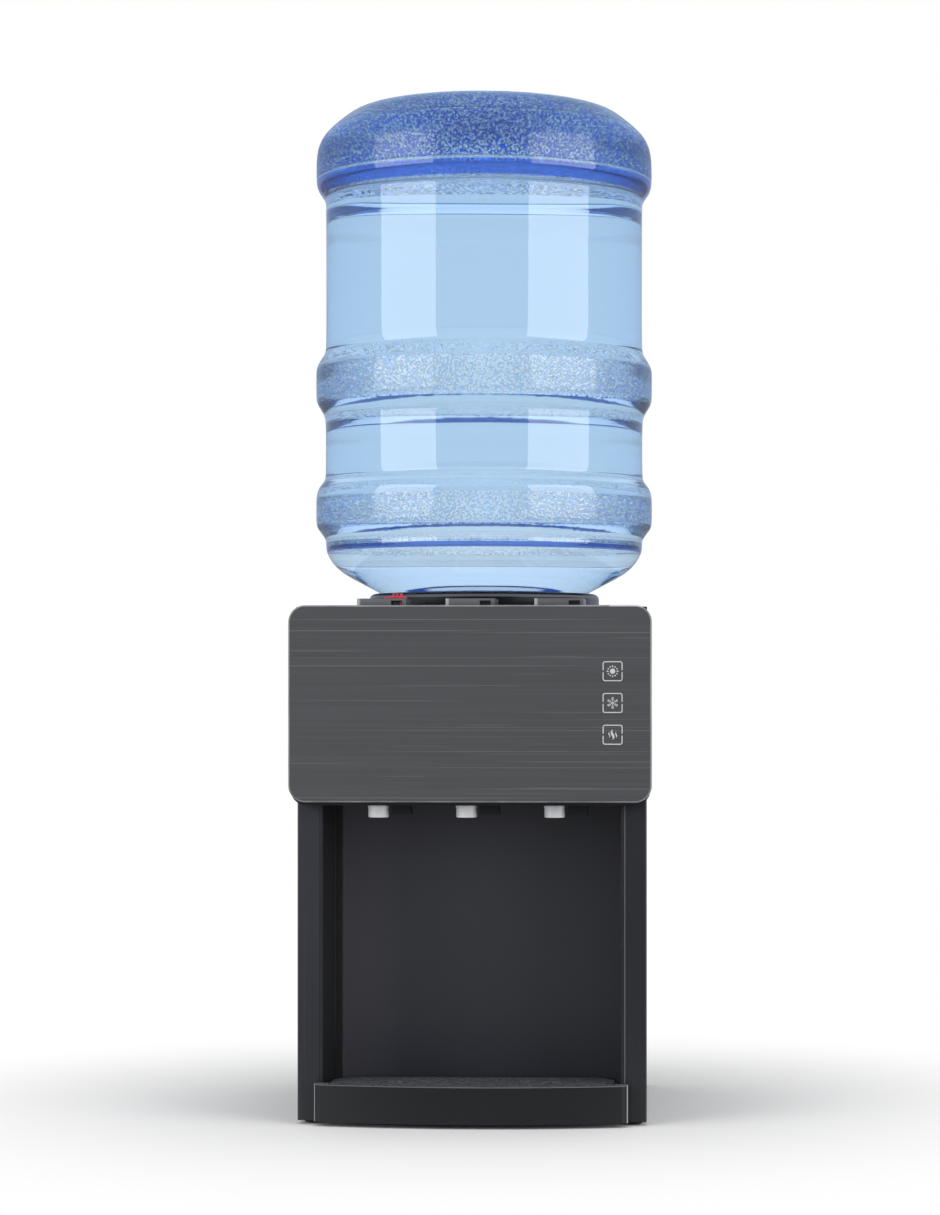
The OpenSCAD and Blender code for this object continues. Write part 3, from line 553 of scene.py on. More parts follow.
def build_water(mat_):
    """The water: just inside the wall up to its level, with a small meniscus, and down the neck."""
    rise = [(0.05, 2.3), (0.5, 1.35), (1.1, 0.75), (1.9, 0.35), (3.0, 0.1), (4.5, 0.0)]
    gap = -0.25  # a little into the wall, so that no film of air is left between the two
    side = pi_[(pi_[:, 1] < LEVEL + 2.0) & (pi_[:, 1] > 366.0)]
    wall_r = float(np.interp(-LEVEL, -pi_[:, 1][pi_[:, 1] > 640], pi_[:, 0][pi_[:, 1] > 640]))
    R = Rings()
    prof = [(wall_r * f_, LEVEL) for f_ in (0.25, 0.5, 0.72, 0.88)]
    prof += [(wall_r - gap - d, LEVEL + u) for d, u in rise[::-1]]
    prof += [(r_ - gap, z_) for r_, z_ in side]
    prof += [(prof[-1][0], 365.0), (prof[-1][0] * 0.5, 365.0)]
    rows = [R.ring(r_, z_, NI) for r_, z_ in prof]
    R.pole(LEVEL, rows[0])
    for a, b in zip(rows[:-1], rows[1:]):
        R.join(a, b)
    R.pole(365.0, rows[-1], 0, True)
    v = np.array(R.verts) * MM
    return mesh_piece("water", v, R.faces, [mat_], "bottle", sharp=50)


def glass(name, ior, tint=(1, 1, 1), rough=0.0, absorb=None, shadow=0.9, pebble=0.0):
    m = material(name)
    n = Net(m)
    p = n.add("ShaderNodeBsdfPrincipled")
    p.inputs["Base Color"].default_value = (*tint, 1)
    p.inputs["Roughness"].default_value = rough
    p.inputs["IOR"].default_value = ior
    p.inputs["Transmission Weight"].default_value = 1.0
    if pebble:
        # finer pebbles than the mesh holds, only where the mould was textured: they tint as well as bend the light. The field
        # they are drawn in runs straight through the wall, so that both skins carry the same pebbles.
        tc_ = n.add("ShaderNodeTexCoord")
        xyz = n.add("ShaderNodeSeparateXYZ")
        n.t.links.new(tc_.outputs["Object"], xyz.inputs[0])
        z_ = xyz.outputs["Z"]
        flat = n.math("SQRT", n.math("ADD", n.math("MULTIPLY", xyz.outputs["X"], xyz.outputs["X"]), n.math("MULTIPLY", xyz.outputs["Y"], xyz.outputs["Y"])))
        spoke = n.add("ShaderNodeCombineXYZ")
        n.t.links.new(xyz.outputs["X"], spoke.inputs[0]); n.t.links.new(xyz.outputs["Y"], spoke.inputs[1])
        n.t.links.new(n.math("MAXIMUM", n.math("SUBTRACT", z_, 0.745), 0.0), spoke.inputs[2])
        unit = n.add("ShaderNodeVectorMath", operation="NORMALIZE")
        n.t.links.new(spoke.outputs[0], unit.inputs[0])
        long_ = n.add("ShaderNodeVectorMath", operation="SCALE")
        n.t.links.new(unit.outputs[0], long_.inputs[0]); long_.inputs["Scale"].default_value = BAND * MM
        low = n.add("ShaderNodeCombineXYZ")
        n.t.links.new(n.math("MINIMUM", z_, 0.745), low.inputs[2])
        field = n.add("ShaderNodeVectorMath", operation="ADD")
        n.t.links.new(long_.outputs[0], field.inputs[0]); n.t.links.new(low.outputs[0], field.inputs[1])

        def between(v, lo, hi, soft):
            a = n.add("ShaderNodeMapRange", interpolation_type="SMOOTHSTEP")
            n.t.links.new(v, a.inputs["Value"])
            a.inputs["From Min"].default_value, a.inputs["From Max"].default_value = lo, lo + soft
            b = n.add("ShaderNodeMapRange", interpolation_type="SMOOTHSTEP")
            n.t.links.new(v, b.inputs["Value"])
            b.inputs["From Min"].default_value, b.inputs["From Max"].default_value = hi - soft, hi
            b.inputs["To Min"].default_value, b.inputs["To Max"].default_value = 1.0, 0.0
            return n.math("MULTIPLY", a.outputs[0], b.outputs[0])

        # light that comes in through a textured wall is tinted more than light that leaves through one
        skin = n.add("ShaderNodeAttribute", attribute_type="GEOMETRY")
        skin.attribute_name = "skin"
        back = n.add("ShaderNodeNewGeometry").outputs["Backfacing"]
        entering = n.math("ADD", n.math("MULTIPLY", skin.outputs["Fac"], n.math("SUBTRACT", 1.0, back)), n.math("MULTIPLY", n.math("SUBTRACT", 1.0, skin.outputs["Fac"]), back))
        tone = n.math("ADD", LEAVING, n.math("MULTIPLY", entering, 1.0 - LEAVING))
        crown_ = n.math("MULTIPLY", between(z_, 0.7535, 0.9, 0.002), between(flat, 0.088, 0.2, 0.004))
        rings_ = n.math("MULTIPLY", n.math("ADD", between(z_, 0.5692, 0.6010, 0.0012), between(z_, 0.4655, 0.4942, 0.0012)), between(flat, 0.1340, 0.2, 0.0002))
        vor = n.add("ShaderNodeTexVoronoi", feature="F1")
        vor.inputs["Scale"].default_value = PEBBLE_SCALE
        wob = n.add("ShaderNodeTexNoise")
        wob.inputs["Scale"].default_value = 420
        n.t.links.new(field.outputs[0], wob.inputs["Vector"])
        off = n.add("ShaderNodeVectorMath", operation="MULTIPLY_ADD")
        n.t.links.new(wob.outputs["Color"], off.inputs[0]); off.inputs[1].default_value = (0.0028, 0.0028, 0.0028)
        n.t.links.new(field.outputs[0], off.inputs[2])
        n.t.links.new(off.outputs[0], vor.inputs["Vector"])
        cell = n.ramp(vor.outputs["Distance"], [(PEBBLE_RAMP[0], 1.0), (PEBBLE_RAMP[1], 0.0)])
        deep_crown = n.mix(cell, CROWN_DEEP, CROWN_PALE)
        heel = between(z_, 0.762, 0.801, 0.014)
        deep_crown = n.mix(heel, deep_crown, n.mix(cell, tuple(a * b for a, b in zip(CROWN_DEEP, HEEL)), tuple(a * b for a, b in zip(CROWN_PALE, HEEL))))
        # seen edge-on, towards the rings' ends, the tint deepens and the pale cells turn whiter; the whiter cells are
        # painted glints
        edge_on = n.add("ShaderNodeLayerWeight")
        edge_on.inputs["Blend"].default_value = 0.5
        aside = n.math("MINIMUM", 1.0, n.math("MULTIPLY", n.math("POWER", edge_on.outputs["Facing"], 1.2), 1.7))
        deep_ring = n.mix(aside, RING_DEEP, RING_EDGE)
        deep_ring = n.mix(cell, deep_ring, n.mix(aside, (1.0, 1.0, 1.0), RING_GLINT))
        thick = n.add("ShaderNodeMapRange", interpolation_type="SMOOTHSTEP")  # the blown wall is thinner at the shoulder
        n.t.links.new(z_, thick.inputs["Value"])
        thick.inputs["From Min"].default_value, thick.inputs["From Max"].default_value = 0.452, 0.472
        c = n.mix(n.math("MULTIPLY", crown_, tone), n.mix(thick.outputs[0], (1.0, 1.0, 1.0), WALL_TINT), deep_crown)
        c = n.mix(n.math("MULTIPLY", rings_, tone), c, deep_ring)
        lip = n.math("MULTIPLY", entering, n.math("MULTIPLY", between(z_, 0.7400, 0.7530, 0.0015), between(flat, 0.1275, 0.2, 0.0010)))
        c = n.mix(lip, c, LIP)
        # painted shade: a dark line of tint at the fold where the shoulder starts below the lowest band, standing in
        # for the dark room seen through it
        c = n.mix(n.math("MULTIPLY", entering, between(z_, 0.4506, 0.4557, 0.0008)), c, FOLD_SHADE)
        # painted reflection: the crown's tint is darker in a band across its front and back, standing in for the dark
        # room between the softboxes reflected there
        reflection_width = n.add("ShaderNodeMapRange", interpolation_type="SMOOTHSTEP")
        n.t.links.new(n.math("ABSOLUTE", n.math("ADD", xyz.outputs["X"], -0.012)), reflection_width.inputs["Value"])
        reflection_width.inputs["From Min"].default_value, reflection_width.inputs["From Max"].default_value = 0.008, 0.070
        reflection_width.inputs["To Min"].default_value, reflection_width.inputs["To Max"].default_value = 1.0, 0.0
        dark_reflection_mask = n.math("MULTIPLY", n.math("MULTIPLY", reflection_width.outputs[0], entering), n.math("MULTIPLY", crown_, between(z_, 0.7600, 0.7990, 0.0150)))
        c = n.mix(dark_reflection_mask, c, n.mix(cell, DARK_REFLECTION_DEEP, DARK_REFLECTION))
        n.t.links.new(c, p.inputs["Base Color"])
        wavy = n.bump(n.noise(9, 2, 0.5, vec=n.coords(scale=(1, 1, 0.35))), 0.0012, 0.5)
        hgt = n.math("MULTIPLY", cell, n.math("ADD", crown_, n.math("MULTIPLY", rings_, 0.28)))
        n.t.links.new(n.bump(hgt, pebble, 1.0, wavy), p.inputs["Normal"])
        n.t.links.new(n.math("ADD", n.math("MULTIPLY", crown_, 0.16), n.math("MULTIPLY", rings_, 0.10)), p.inputs["Roughness"])
    tr = n.add("ShaderNodeBsdfTransparent")
    tr.inputs["Color"].default_value = (shadow, shadow, shadow, 1)
    lp_ = n.add("ShaderNodeLightPath")
    mix = n.add("ShaderNodeMixShader")
    n.t.links.new(lp_.outputs["Is Shadow Ray"], mix.inputs[0])
    n.t.links.new(p.outputs[0], mix.inputs[1])
    n.t.links.new(tr.outputs[0], mix.inputs[2])
    out_ = n.add("ShaderNodeOutputMaterial")
    n.t.links.new(mix.outputs[0], out_.inputs["Surface"])
    if absorb:
        va = n.add("ShaderNodeVolumeAbsorption")
        va.inputs["Color"].default_value = (*absorb[0], 1)
        va.inputs["Density"].default_value = absorb[1]
        n.t.links.new(va.outputs[0], out_.inputs["Volume"])
    return m


PEBBLE = 0.08
PEBBLE_SCALE = 560
PEBBLE_RAMP = (0.50, 0.60)
RING_EDGE, RING_GLINT = (0.16, 0.36, 1.0), (0.88, 0.95, 1.0)
LEAVING = 0.30
FOLD_SHADE, DARK_REFLECTION, DARK_REFLECTION_DEEP = (0.16, 0.26, 0.64), (0.50, 0.60, 0.83), (0.04, 0.11, 0.60)
CROWN_PALE = (0.86, 0.95, 1.0)
CROWN_DEEP, RING_DEEP, HEEL, LIP, WALL_TINT = (0.06, 0.21, 1.0), (0.70, 0.84, 0.97), (0.88, 0.96, 1.0), (0.17, 0.34, 1.0), (0.775, 0.872, 0.953)
bottle = build_bottle(glass("bottle_blue_pc", 1.55, absorb=((0.04, 0.48, 0.82), 120.0), pebble=0.0006))
water = build_water(glass("water", 1.333, shadow=0.98))


# ---------------------------------------------------------------- carried-over CAD nodes
M = {
    "black_abs": moulded("black_abs", lin(27, 26.5, 31), rough=0.40),
    "black_gloss": moulded("black_gloss", lin(18, 18, 21), rough=0.16, grain=0.000005, grain_scale=900),
    "grille_plastic": moulded("grille_plastic", lin(88, 88, 91), rough=0.5, grain=0.00025, grain_scale=700, vary=0.3),
    "painted_steel": moulded("painted_steel", lin(31, 30, 36), rough=0.42, grain=0.00004, grain_scale=1200),
    "zinc_steel": metal("zinc_steel", (0.62, 0.62, 0.64), 0.3, (1, 1, 1), 60),
    "brushed_panel": moulded("brushed_panel", lin(80, 81, 83), rough=0.35),
    "light_guide": moulded("light_guide", (0.8, 0.8, 0.8), rough=0.25, sss=0.3),
    "circuit_board": moulded("circuit_board", (0.02, 0.16, 0.07), rough=0.3),
    "white_plastic": moulded("white_plastic", (0.72, 0.72, 0.71), rough=0.4, sss=0.1),
    "nozzle_white": moulded("nozzle_white", (0.90, 0.90, 0.97), rough=0.25, sss=0.1),
    "key_grey": moulded("key_grey", lin(105, 104, 107), rough=0.3),
    "red_plastic": moulded("red_plastic", (0.60, 0.035, 0.05), rough=0.28),
    "green_plastic": moulded("green_plastic", (0.03, 0.30, 0.09), rough=0.28),
    "rubber_black": moulded("rubber_black", (0.012, 0.012, 0.012), rough=0.75, grain=0.0001, grain_scale=900),
    "silicone": moulded("silicone", (0.72, 0.72, 0.69), rough=0.45, sss=0.3),
    "cap_blue": moulded("cap_blue", (0.42, 0.58, 0.78), rough=0.4, sss=0.1),
    "stainless": metal("stainless", (0.66, 0.66, 0.67), 0.25),
    "aluminium": metal("aluminium", (0.7, 0.7, 0.72), 0.35),
    "ceramic_white": moulded("ceramic_white", (0.82, 0.82, 0.8), rough=0.5),
    "heater_mica": metal("heater_mica", (0.45, 0.38, 0.26), 0.45),
    "foam_white": moulded("foam_white", (0.85, 0.85, 0.84), rough=0.9, grain=0.0006, grain_scale=350, vary=0.06),
    "foam_grey": moulded("foam_grey", (0.12, 0.12, 0.125), rough=0.9, grain=0.0006, grain_scale=350),
}
slot_of = {s_["node"]: s_["material_slot"] for s_ in frame["record"]["subparts"]}


def clean_group():
    """Merges the import's split corners, drops its stored normals and shades smooth."""
    g = bpy.data.node_groups.new("clean_cad", "GeometryNodeTree")
    g.interface.new_socket("Geometry", in_out="INPUT", socket_type="NodeSocketGeometry")
    g.interface.new_socket("Geometry", in_out="OUTPUT", socket_type="NodeSocketGeometry")
    gi, go = g.nodes.new("NodeGroupInput"), g.nodes.new("NodeGroupOutput")
    rm = g.nodes.new("GeometryNodeRemoveAttribute")
    rm.inputs["Name"].default_value = "custom_normal"
    mg = g.nodes.new("GeometryNodeMergeByDistance")
    mg.inputs["Distance"].default_value = 0.000002
    sm = g.nodes.new("GeometryNodeSetShadeSmooth")
    for a, b in ((gi.outputs[0], rm.inputs[0]), (rm.outputs[0], mg.inputs[0]), (mg.outputs[0], sm.inputs[0]), (sm.outputs[0], go.inputs[0])):
        g.links.new(a, b)
    return g


CLEAN = clean_group()


def dress(name, mat_, width=0.35, segments=2, angle=32):
    """Better edges and a material on a carried-over CAD node."""
    o = frame["nodes"][name]
    o.data.materials.clear()
    o.data.materials.append(mat_)
    if width:
        md = o.modifiers.new("clean", "NODES")
        md.node_group = CLEAN
        dm = o.modifiers.new("flat", "DECIMATE")
        dm.decimate_type, dm.angle_limit = "DISSOLVE", math.radians(0.6)
        bv = o.modifiers.new("edge", "BEVEL")
        bv.width, bv.segments, bv.limit_method, bv.angle_limit = width * MM, segments, "ANGLE", math.radians(angle)
        bv.use_clamp_overlap = True
        wn = o.modifiers.new("normals", "WEIGHTED_NORMAL")
        wn.weight, wn.keep_sharp = 60, False
    return o


# ---------------------------------------------------------------- finishes of single nodes
def zone(n, axis, lo, hi, mirrored=False):
    """0 to 1 as an object coordinate goes from lo to hi, in metres."""
    tc_ = n.add("ShaderNodeTexCoord")
    xyz = n.add("ShaderNodeSeparateXYZ")
    n.t.links.new(tc_.outputs["Object"], xyz.inputs[0])
    v = xyz.outputs[axis]
    if mirrored:
        v = n.math("ABSOLUTE", v)
    r_ = n.add("ShaderNodeMapRange", interpolation_type="SMOOTHSTEP")
    n.t.links.new(v, r_.inputs["Value"])
    r_.inputs["From Min"].default_value, r_.inputs["From Max"].default_value = lo, hi
    return r_.outputs[0]


def liner_finish():
    """The niche: satin back wall with painted light, paler towards its top and left and darker to its right; side walls
    darkened by painted shade, with a painted highlight along their step; faint wiping marks.
    """
    m = material("niche_black")
    n = Net(m)
    side = n.math("MULTIPLY", zone(n, "X", 0.1122, 0.1129, True), n.math("SUBTRACT", 1.0, zone(n, "Y", -0.0272, -0.0262)))
    slow = n.noise(5, 3)
    back = n.mix(n.ramp(slow, [(0.3, 0.0), (0.7, 1.0)]), lin(47, 46, 51), lin(55, 54, 59))
    # painted light: the back wall is paler towards the top and the left and darker to the right
    back = n.mix(n.math("MULTIPLY", zone(n, "Z", 0.06, 0.26), 0.6), back, lin(68, 67, 73))
    back = n.mix(n.math("MULTIPLY", zone(n, "X", -0.02, 0.10), 0.45), back, lin(38, 37, 41))
    back = n.mix(n.math("MULTIPLY", n.math("SUBTRACT", 1.0, zone(n, "X", -0.115, -0.030)), 0.75), back, lin(90, 89, 96))
    # painted shade: the side walls are much darker than the back wall
    c = n.mix(side, back, lin(19, 19, 20))
    # painted highlight: a pale line along the step in the side walls
    step_highlight = n.math("MULTIPLY", zone(n, "Y", -0.0592, -0.0588), n.math("SUBTRACT", 1.0, zone(n, "Y", -0.0572, -0.0568)))
    c = n.mix(n.math("MULTIPLY", step_highlight, n.math("MULTIPLY", side, zone(n, "Z", 0.050, 0.075))), c, lin(74, 72, 66))
    r = n.math("ADD", 0.36, n.math("MULTIPLY", n.noise(30, 4, vec=n.coords(scale=(1, 1, 0.3))), 0.12))
    n.principled(Base_Color=c, Roughness=r, Normal=n.bump(n.noise(2400, 2), 0.00003, 0.6))
    return m


def tray_finish():
    """The drip tray: satin black with painted highlights along its upper front edge and down its outer corners."""
    m = material("tray_black")
    n = Net(m)
    slow = n.noise(11, 3)
    body_ = n.mix(n.ramp(slow, [(0.3, 0.0), (0.7, 1.0)]), lin(10, 9.5, 12), lin(15, 14.5, 17))
    # painted highlights: pale lines down the outer corners and along the upper front edge
    corner_highlight = n.math("MULTIPLY", zone(n, "X", 0.1213, 0.1216, True), n.math("SUBTRACT", 1.0, zone(n, "Y", -0.1336, -0.1330)))
    rim_highlight = n.math("MULTIPLY", n.math("MULTIPLY", zone(n, "Z", 0.0319, 0.0321), n.math("SUBTRACT", 1.0, zone(n, "Y", -0.1260, -0.1255))), 0.45)
    edge = n.math("MINIMUM", 1.0, n.math("ADD", corner_highlight, n.math("MULTIPLY", rim_highlight, n.math("ADD", 0.45, n.math("MULTIPLY", n.noise(9, 2, vec=n.coords(scale=(1, 0.1, 0.1))), 0.6)))))
    c = n.mix(edge, body_, lin(172, 171, 174))
    r = n.math("ADD", 0.33, n.math("MULTIPLY", n.noise(38, 4), 0.10))
    n.principled(Base_Color=c, Roughness=r, Specular_IOR_Level=0.36, Normal=n.bump(n.noise(2600, 2), 0.00003, 0.6))
    return m


def grille_finish():
    """The grille: greyer, grainy and a little dusty."""
    m = material("grille_grey")
    n = Net(m)
    spots = n.ramp(n.noise(420, 3, 0.65), [(0.35, 0.0), (0.62, 1.0)])
    c = n.mix(spots, lin(52, 52, 54), lin(96, 96, 98))
    r = n.math("ADD", 0.40, n.math("MULTIPLY", n.noise(60, 4), 0.15))
    n.principled(Base_Color=c, Roughness=r, Normal=n.bump(n.noise(520, 3), 0.00035, 0.8))
    return m


def key_finish(name, shade, left):
    m = material(name)
    n = Net(m)
    slow = n.noise(40, 3)
    c = n.mix(n.ramp(slow, [(0.3, 0.0), (0.7, 1.0)]), tuple(x * 0.88 for x in shade), shade)
    # painted shade: the caps are darker under their top edge
    c = n.mix(zone(n, "Z", 0.4055, 0.4090), tuple(x * 0.72 for x in shade), c)
    # and a painted highlight: a pale patch on their left end, where the rounded end catches the light
    c = n.mix(n.math("SUBTRACT", 1.0, zone(n, "X", left + 0.0012, left + 0.0034)), c, lin(178, 176, 178))
    r = n.math("ADD", 0.26, n.math("MULTIPLY", n.noise(90, 4), 0.10))
    n.principled(Base_Color=c, Roughness=r, Normal=n.bump(n.noise(2200, 2), 0.00003, 0.6))
    return m


def panel_finish(name, low, high, edge=None):
    """Powder-coated sheet, made paler towards the top by painted light, with a fine orange-peel and a few faint rubbed
    streaks; edge gives a painted highlight line.
    """
    m = material(name)
    n = Net(m)
    slow = n.ramp(n.noise(9, 3, vec=n.coords(scale=(1, 1, 0.5))), [(0.3, 0.0), (0.7, 1.0)])
    c = n.mix(zone(n, "Z", 0.0, 0.40), low, high)
    c = n.mix(n.math("MULTIPLY", slow, 0.35), c, tuple(x * 1.3 for x in high))
    rub = n.ramp(n.noise(1, 3, 0.7, vec=n.coords(scale=(260, 260, 3))), [(0.60, 0.0), (0.75, 1.0)])
    c = n.mix(n.math("MULTIPLY", rub, 0.12), c, lin(90, 90, 94))
    # painted highlight: a pale line between the two X values of edge
    if edge:
        lo_, hi_ = edge
        line = n.math("MULTIPLY", zone(n, "X", lo_, lo_ + 0.0001), n.math("SUBTRACT", 1.0, zone(n, "X", hi_, hi_ + 0.0001)))
        c = n.mix(line, c, lin(96, 95, 100))
    r = n.math("ADD", 0.38, n.math("MULTIPLY", n.noise(34, 4), 0.10))
    nrm = n.bump(n.noise(650, 2), 0.00006, 0.6, n.bump(n.noise(2600, 2), 0.00002, 0.5))
    n.principled(Base_Color=c, Roughness=r, Normal=nrm)
    return m


def collar_finish():
    """The bottle's seat: glossy black, with a painted highlight along its rounded top edge and painted light on its
    right end.
    """
    m = material("seat_black")
    n = Net(m)
    slow = n.noise(16, 3)
    c = n.mix(n.ramp(slow, [(0.3, 0.0), (0.7, 1.0)]), lin(10, 10, 11), lin(15, 15, 16))
    # painted highlight: a grey line along the rounded top edge
    top_highlight = n.math("MULTIPLY", n.math("MULTIPLY", zone(n, "Z", 0.4126, 0.4132), n.math("SUBTRACT", 1.0, zone(n, "Z", 0.4146, 0.4152))), n.math("ADD", 0.35, n.math("MULTIPLY", n.noise(14, 2), 0.6)))
    c = n.mix(top_highlight, c, lin(120, 120, 122))
    # painted light: the right end of the seat is grey
    right = n.math("MULTIPLY", zone(n, "X", 0.0800, 0.0900), zone(n, "Z", 0.4062, 0.4066))
    c = n.mix(right, c, lin(96, 95, 97))
    r = n.math("ADD", 0.26, n.math("MULTIPLY", n.noise(50, 4), 0.10))
    n.principled(Base_Color=c, Roughness=r, Specular_IOR_Level=0.18, Normal=n.bump(n.noise(2200, 2), 0.00002, 0.6))
    return m


def lock_finish():
    """The child lock: red where a finger meets it, darkened by painted shade below, in its slot."""
    m = material("lock_red")
    n = Net(m)
    red = n.mix(n.ramp(n.noise(60, 3), [(0.3, 0.0), (0.7, 1.0)]), (0.52, 0.03, 0.045), (0.66, 0.045, 0.06))
    # painted shade: dark below its top, except along the pocket's right side
    c = n.mix(n.math("MAXIMUM", zone(n, "Z", 0.4098, 0.4100), zone(n, "X", -0.0550, -0.0547)), lin(22, 20, 21), red)
    r = n.math("ADD", 0.26, n.math("MULTIPLY", n.noise(90, 4), 0.10))
    n.principled(Base_Color=c, Roughness=r, Normal=n.bump(n.noise(2400, 2), 0.00003, 0.6))
    return m


def rocker_finish(name, shade, node):
    """A rear rocker with its generic on and off marks, a bar above and a ring below."""
    lo_, hi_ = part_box(node)
    cx_, cz_, q_ = (lo_.x + hi_.x) / 2, (lo_.z + hi_.z) / 2, (hi_.z - lo_.z) / 4
    m = material(name)
    n = Net(m)
    tc_ = n.add("ShaderNodeTexCoord")
    xyz = n.add("ShaderNodeSeparateXYZ")
    n.t.links.new(tc_.outputs["Object"], xyz.inputs[0])
    dx = n.math("ABSOLUTE", n.math("SUBTRACT", xyz.outputs["X"], cx_))
    up = n.math("ABSOLUTE", n.math("SUBTRACT", xyz.outputs["Z"], cz_ + q_))
    dn = n.math("SUBTRACT", xyz.outputs["Z"], cz_ - q_)
    bar = n.math("MULTIPLY", n.math("LESS_THAN", dx, 0.00042), n.math("LESS_THAN", up, 0.0019))
    rad = n.math("SQRT", n.math("ADD", n.math("MULTIPLY", dx, dx), n.math("MULTIPLY", dn, dn)))
    loop = n.math("LESS_THAN", n.math("ABSOLUTE", n.math("SUBTRACT", rad, 0.0016)), 0.00036)
    mark = n.math("MULTIPLY", n.math("MAXIMUM", bar, loop), zone(n, "Y", hi_.y - 0.0045, hi_.y - 0.0044))
    slow = n.mix(n.ramp(n.noise(60, 3), [(0.3, 0.0), (0.7, 1.0)]), tuple(x * 0.85 for x in shade), shade)
    c = n.mix(mark, slow, (0.80, 0.80, 0.78))
    r = n.math("ADD", 0.24, n.math("MULTIPLY", n.noise(90, 4), 0.10))
    n.principled(Base_Color=c, Roughness=r, Normal=n.bump(n.noise(2400, 2), 0.00002, 0.6))
    return m


def cover_finish():
    """The top cover: finely grained, rubbed a little greyer in patches."""
    m = material("cover_black")
    n = Net(m)
    slow = n.ramp(n.noise(8, 4, 0.6), [(0.35, 0.0), (0.75, 1.0)])
    c = n.mix(slow, lin(27, 26, 27), lin(36, 35, 36))
    c = n.mix(n.math("MULTIPLY", n.ramp(n.noise(150, 3, 0.7), [(0.55, 0.0), (0.8, 1.0)]), 0.25), c, lin(60, 59, 60))
    r = n.math("ADD", 0.46, n.math("MULTIPLY", n.noise(34, 4), 0.12))
    n.principled(Base_Color=c, Roughness=r, Specular_IOR_Level=0.30, Normal=n.bump(n.noise(1500, 2), 0.00008, 0.8))
    return m


def head_finish():
    """The head's moulding: satin, and darker on the blocks below the plate, where painted shade makes it near black."""
    m = material("head_black")
    n = Net(m)
    c = n.mix(n.ramp(n.noise(12, 3), [(0.3, 0.0), (0.7, 1.0)]), lin(24, 23.5, 27), lin(30, 29.5, 34))
    # painted shade below the plate
    c = n.mix(zone(n, "Z", 0.2505, 0.2515), lin(5, 5, 6), c)
    r = n.math("ADD", 0.38, n.math("MULTIPLY", n.noise(50, 4), 0.10))
    n.principled(Base_Color=c, Roughness=r, Specular_IOR_Level=0.36, Normal=n.bump(n.noise(2400, 2), 0.00003, 0.6))
    return m


OWN = {
    "child_lock": lock_finish(),
    "heating_rocker": rocker_finish("rocker_red", (0.60, 0.035, 0.05), "heating_rocker"),
    "cooling_rocker": rocker_finish("rocker_green", (0.03, 0.30, 0.09), "cooling_rocker"),
    "top_cover": cover_finish(),
    "head_shell": head_finish(),
    # painted light and shade: the left panel is given paler colours than the right, as if lit from the left
    "left_side_panel": panel_finish("panel_left", lin(21, 20.5, 24), lin(45, 44, 52)),
    "right_side_panel": panel_finish("panel_right", lin(12, 11.5, 13.5), lin(25, 24.5, 28), (0.1190, 0.1198)),
    "bottle_collar": collar_finish(),
    "hot_key": key_finish("key_hot", lin(112, 111, 114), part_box("hot_key")[0].x),
    "ambient_key": key_finish("key_ambient", lin(108, 107, 110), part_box("ambient_key")[0].x),
    "cold_key": key_finish("key_cold", lin(104, 103, 106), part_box("cold_key")[0].x),
    "niche_liner": liner_finish(),
    "drip_tray": tray_finish(),
    "drip_grille": grille_finish(),
}


# ---------------------------------------------------------------- front plate and its symbols
def rounded(w, h, r, inset=0.0, per=10, cx=0.0, cz=0.0):
    """Points of a rounded rectangle in X and Z, drawn in by inset, anticlockwise seen from the front."""
    w, h, r = w / 2 - inset, h / 2 - inset, max(r - inset, 0.2)
    out_ = []
    for (sx, sz, a0) in ((1, -1, -90), (1, 1, 0), (-1, 1, 90), (-1, -1, 180)):
        for k in range(per + 1):
            a = math.radians(a0 + 90 * k / per)
            out_.append((cx + sx * (w - r) + r * math.cos(a), cz + sz * (h - r) + r * math.sin(a)))
    return out_


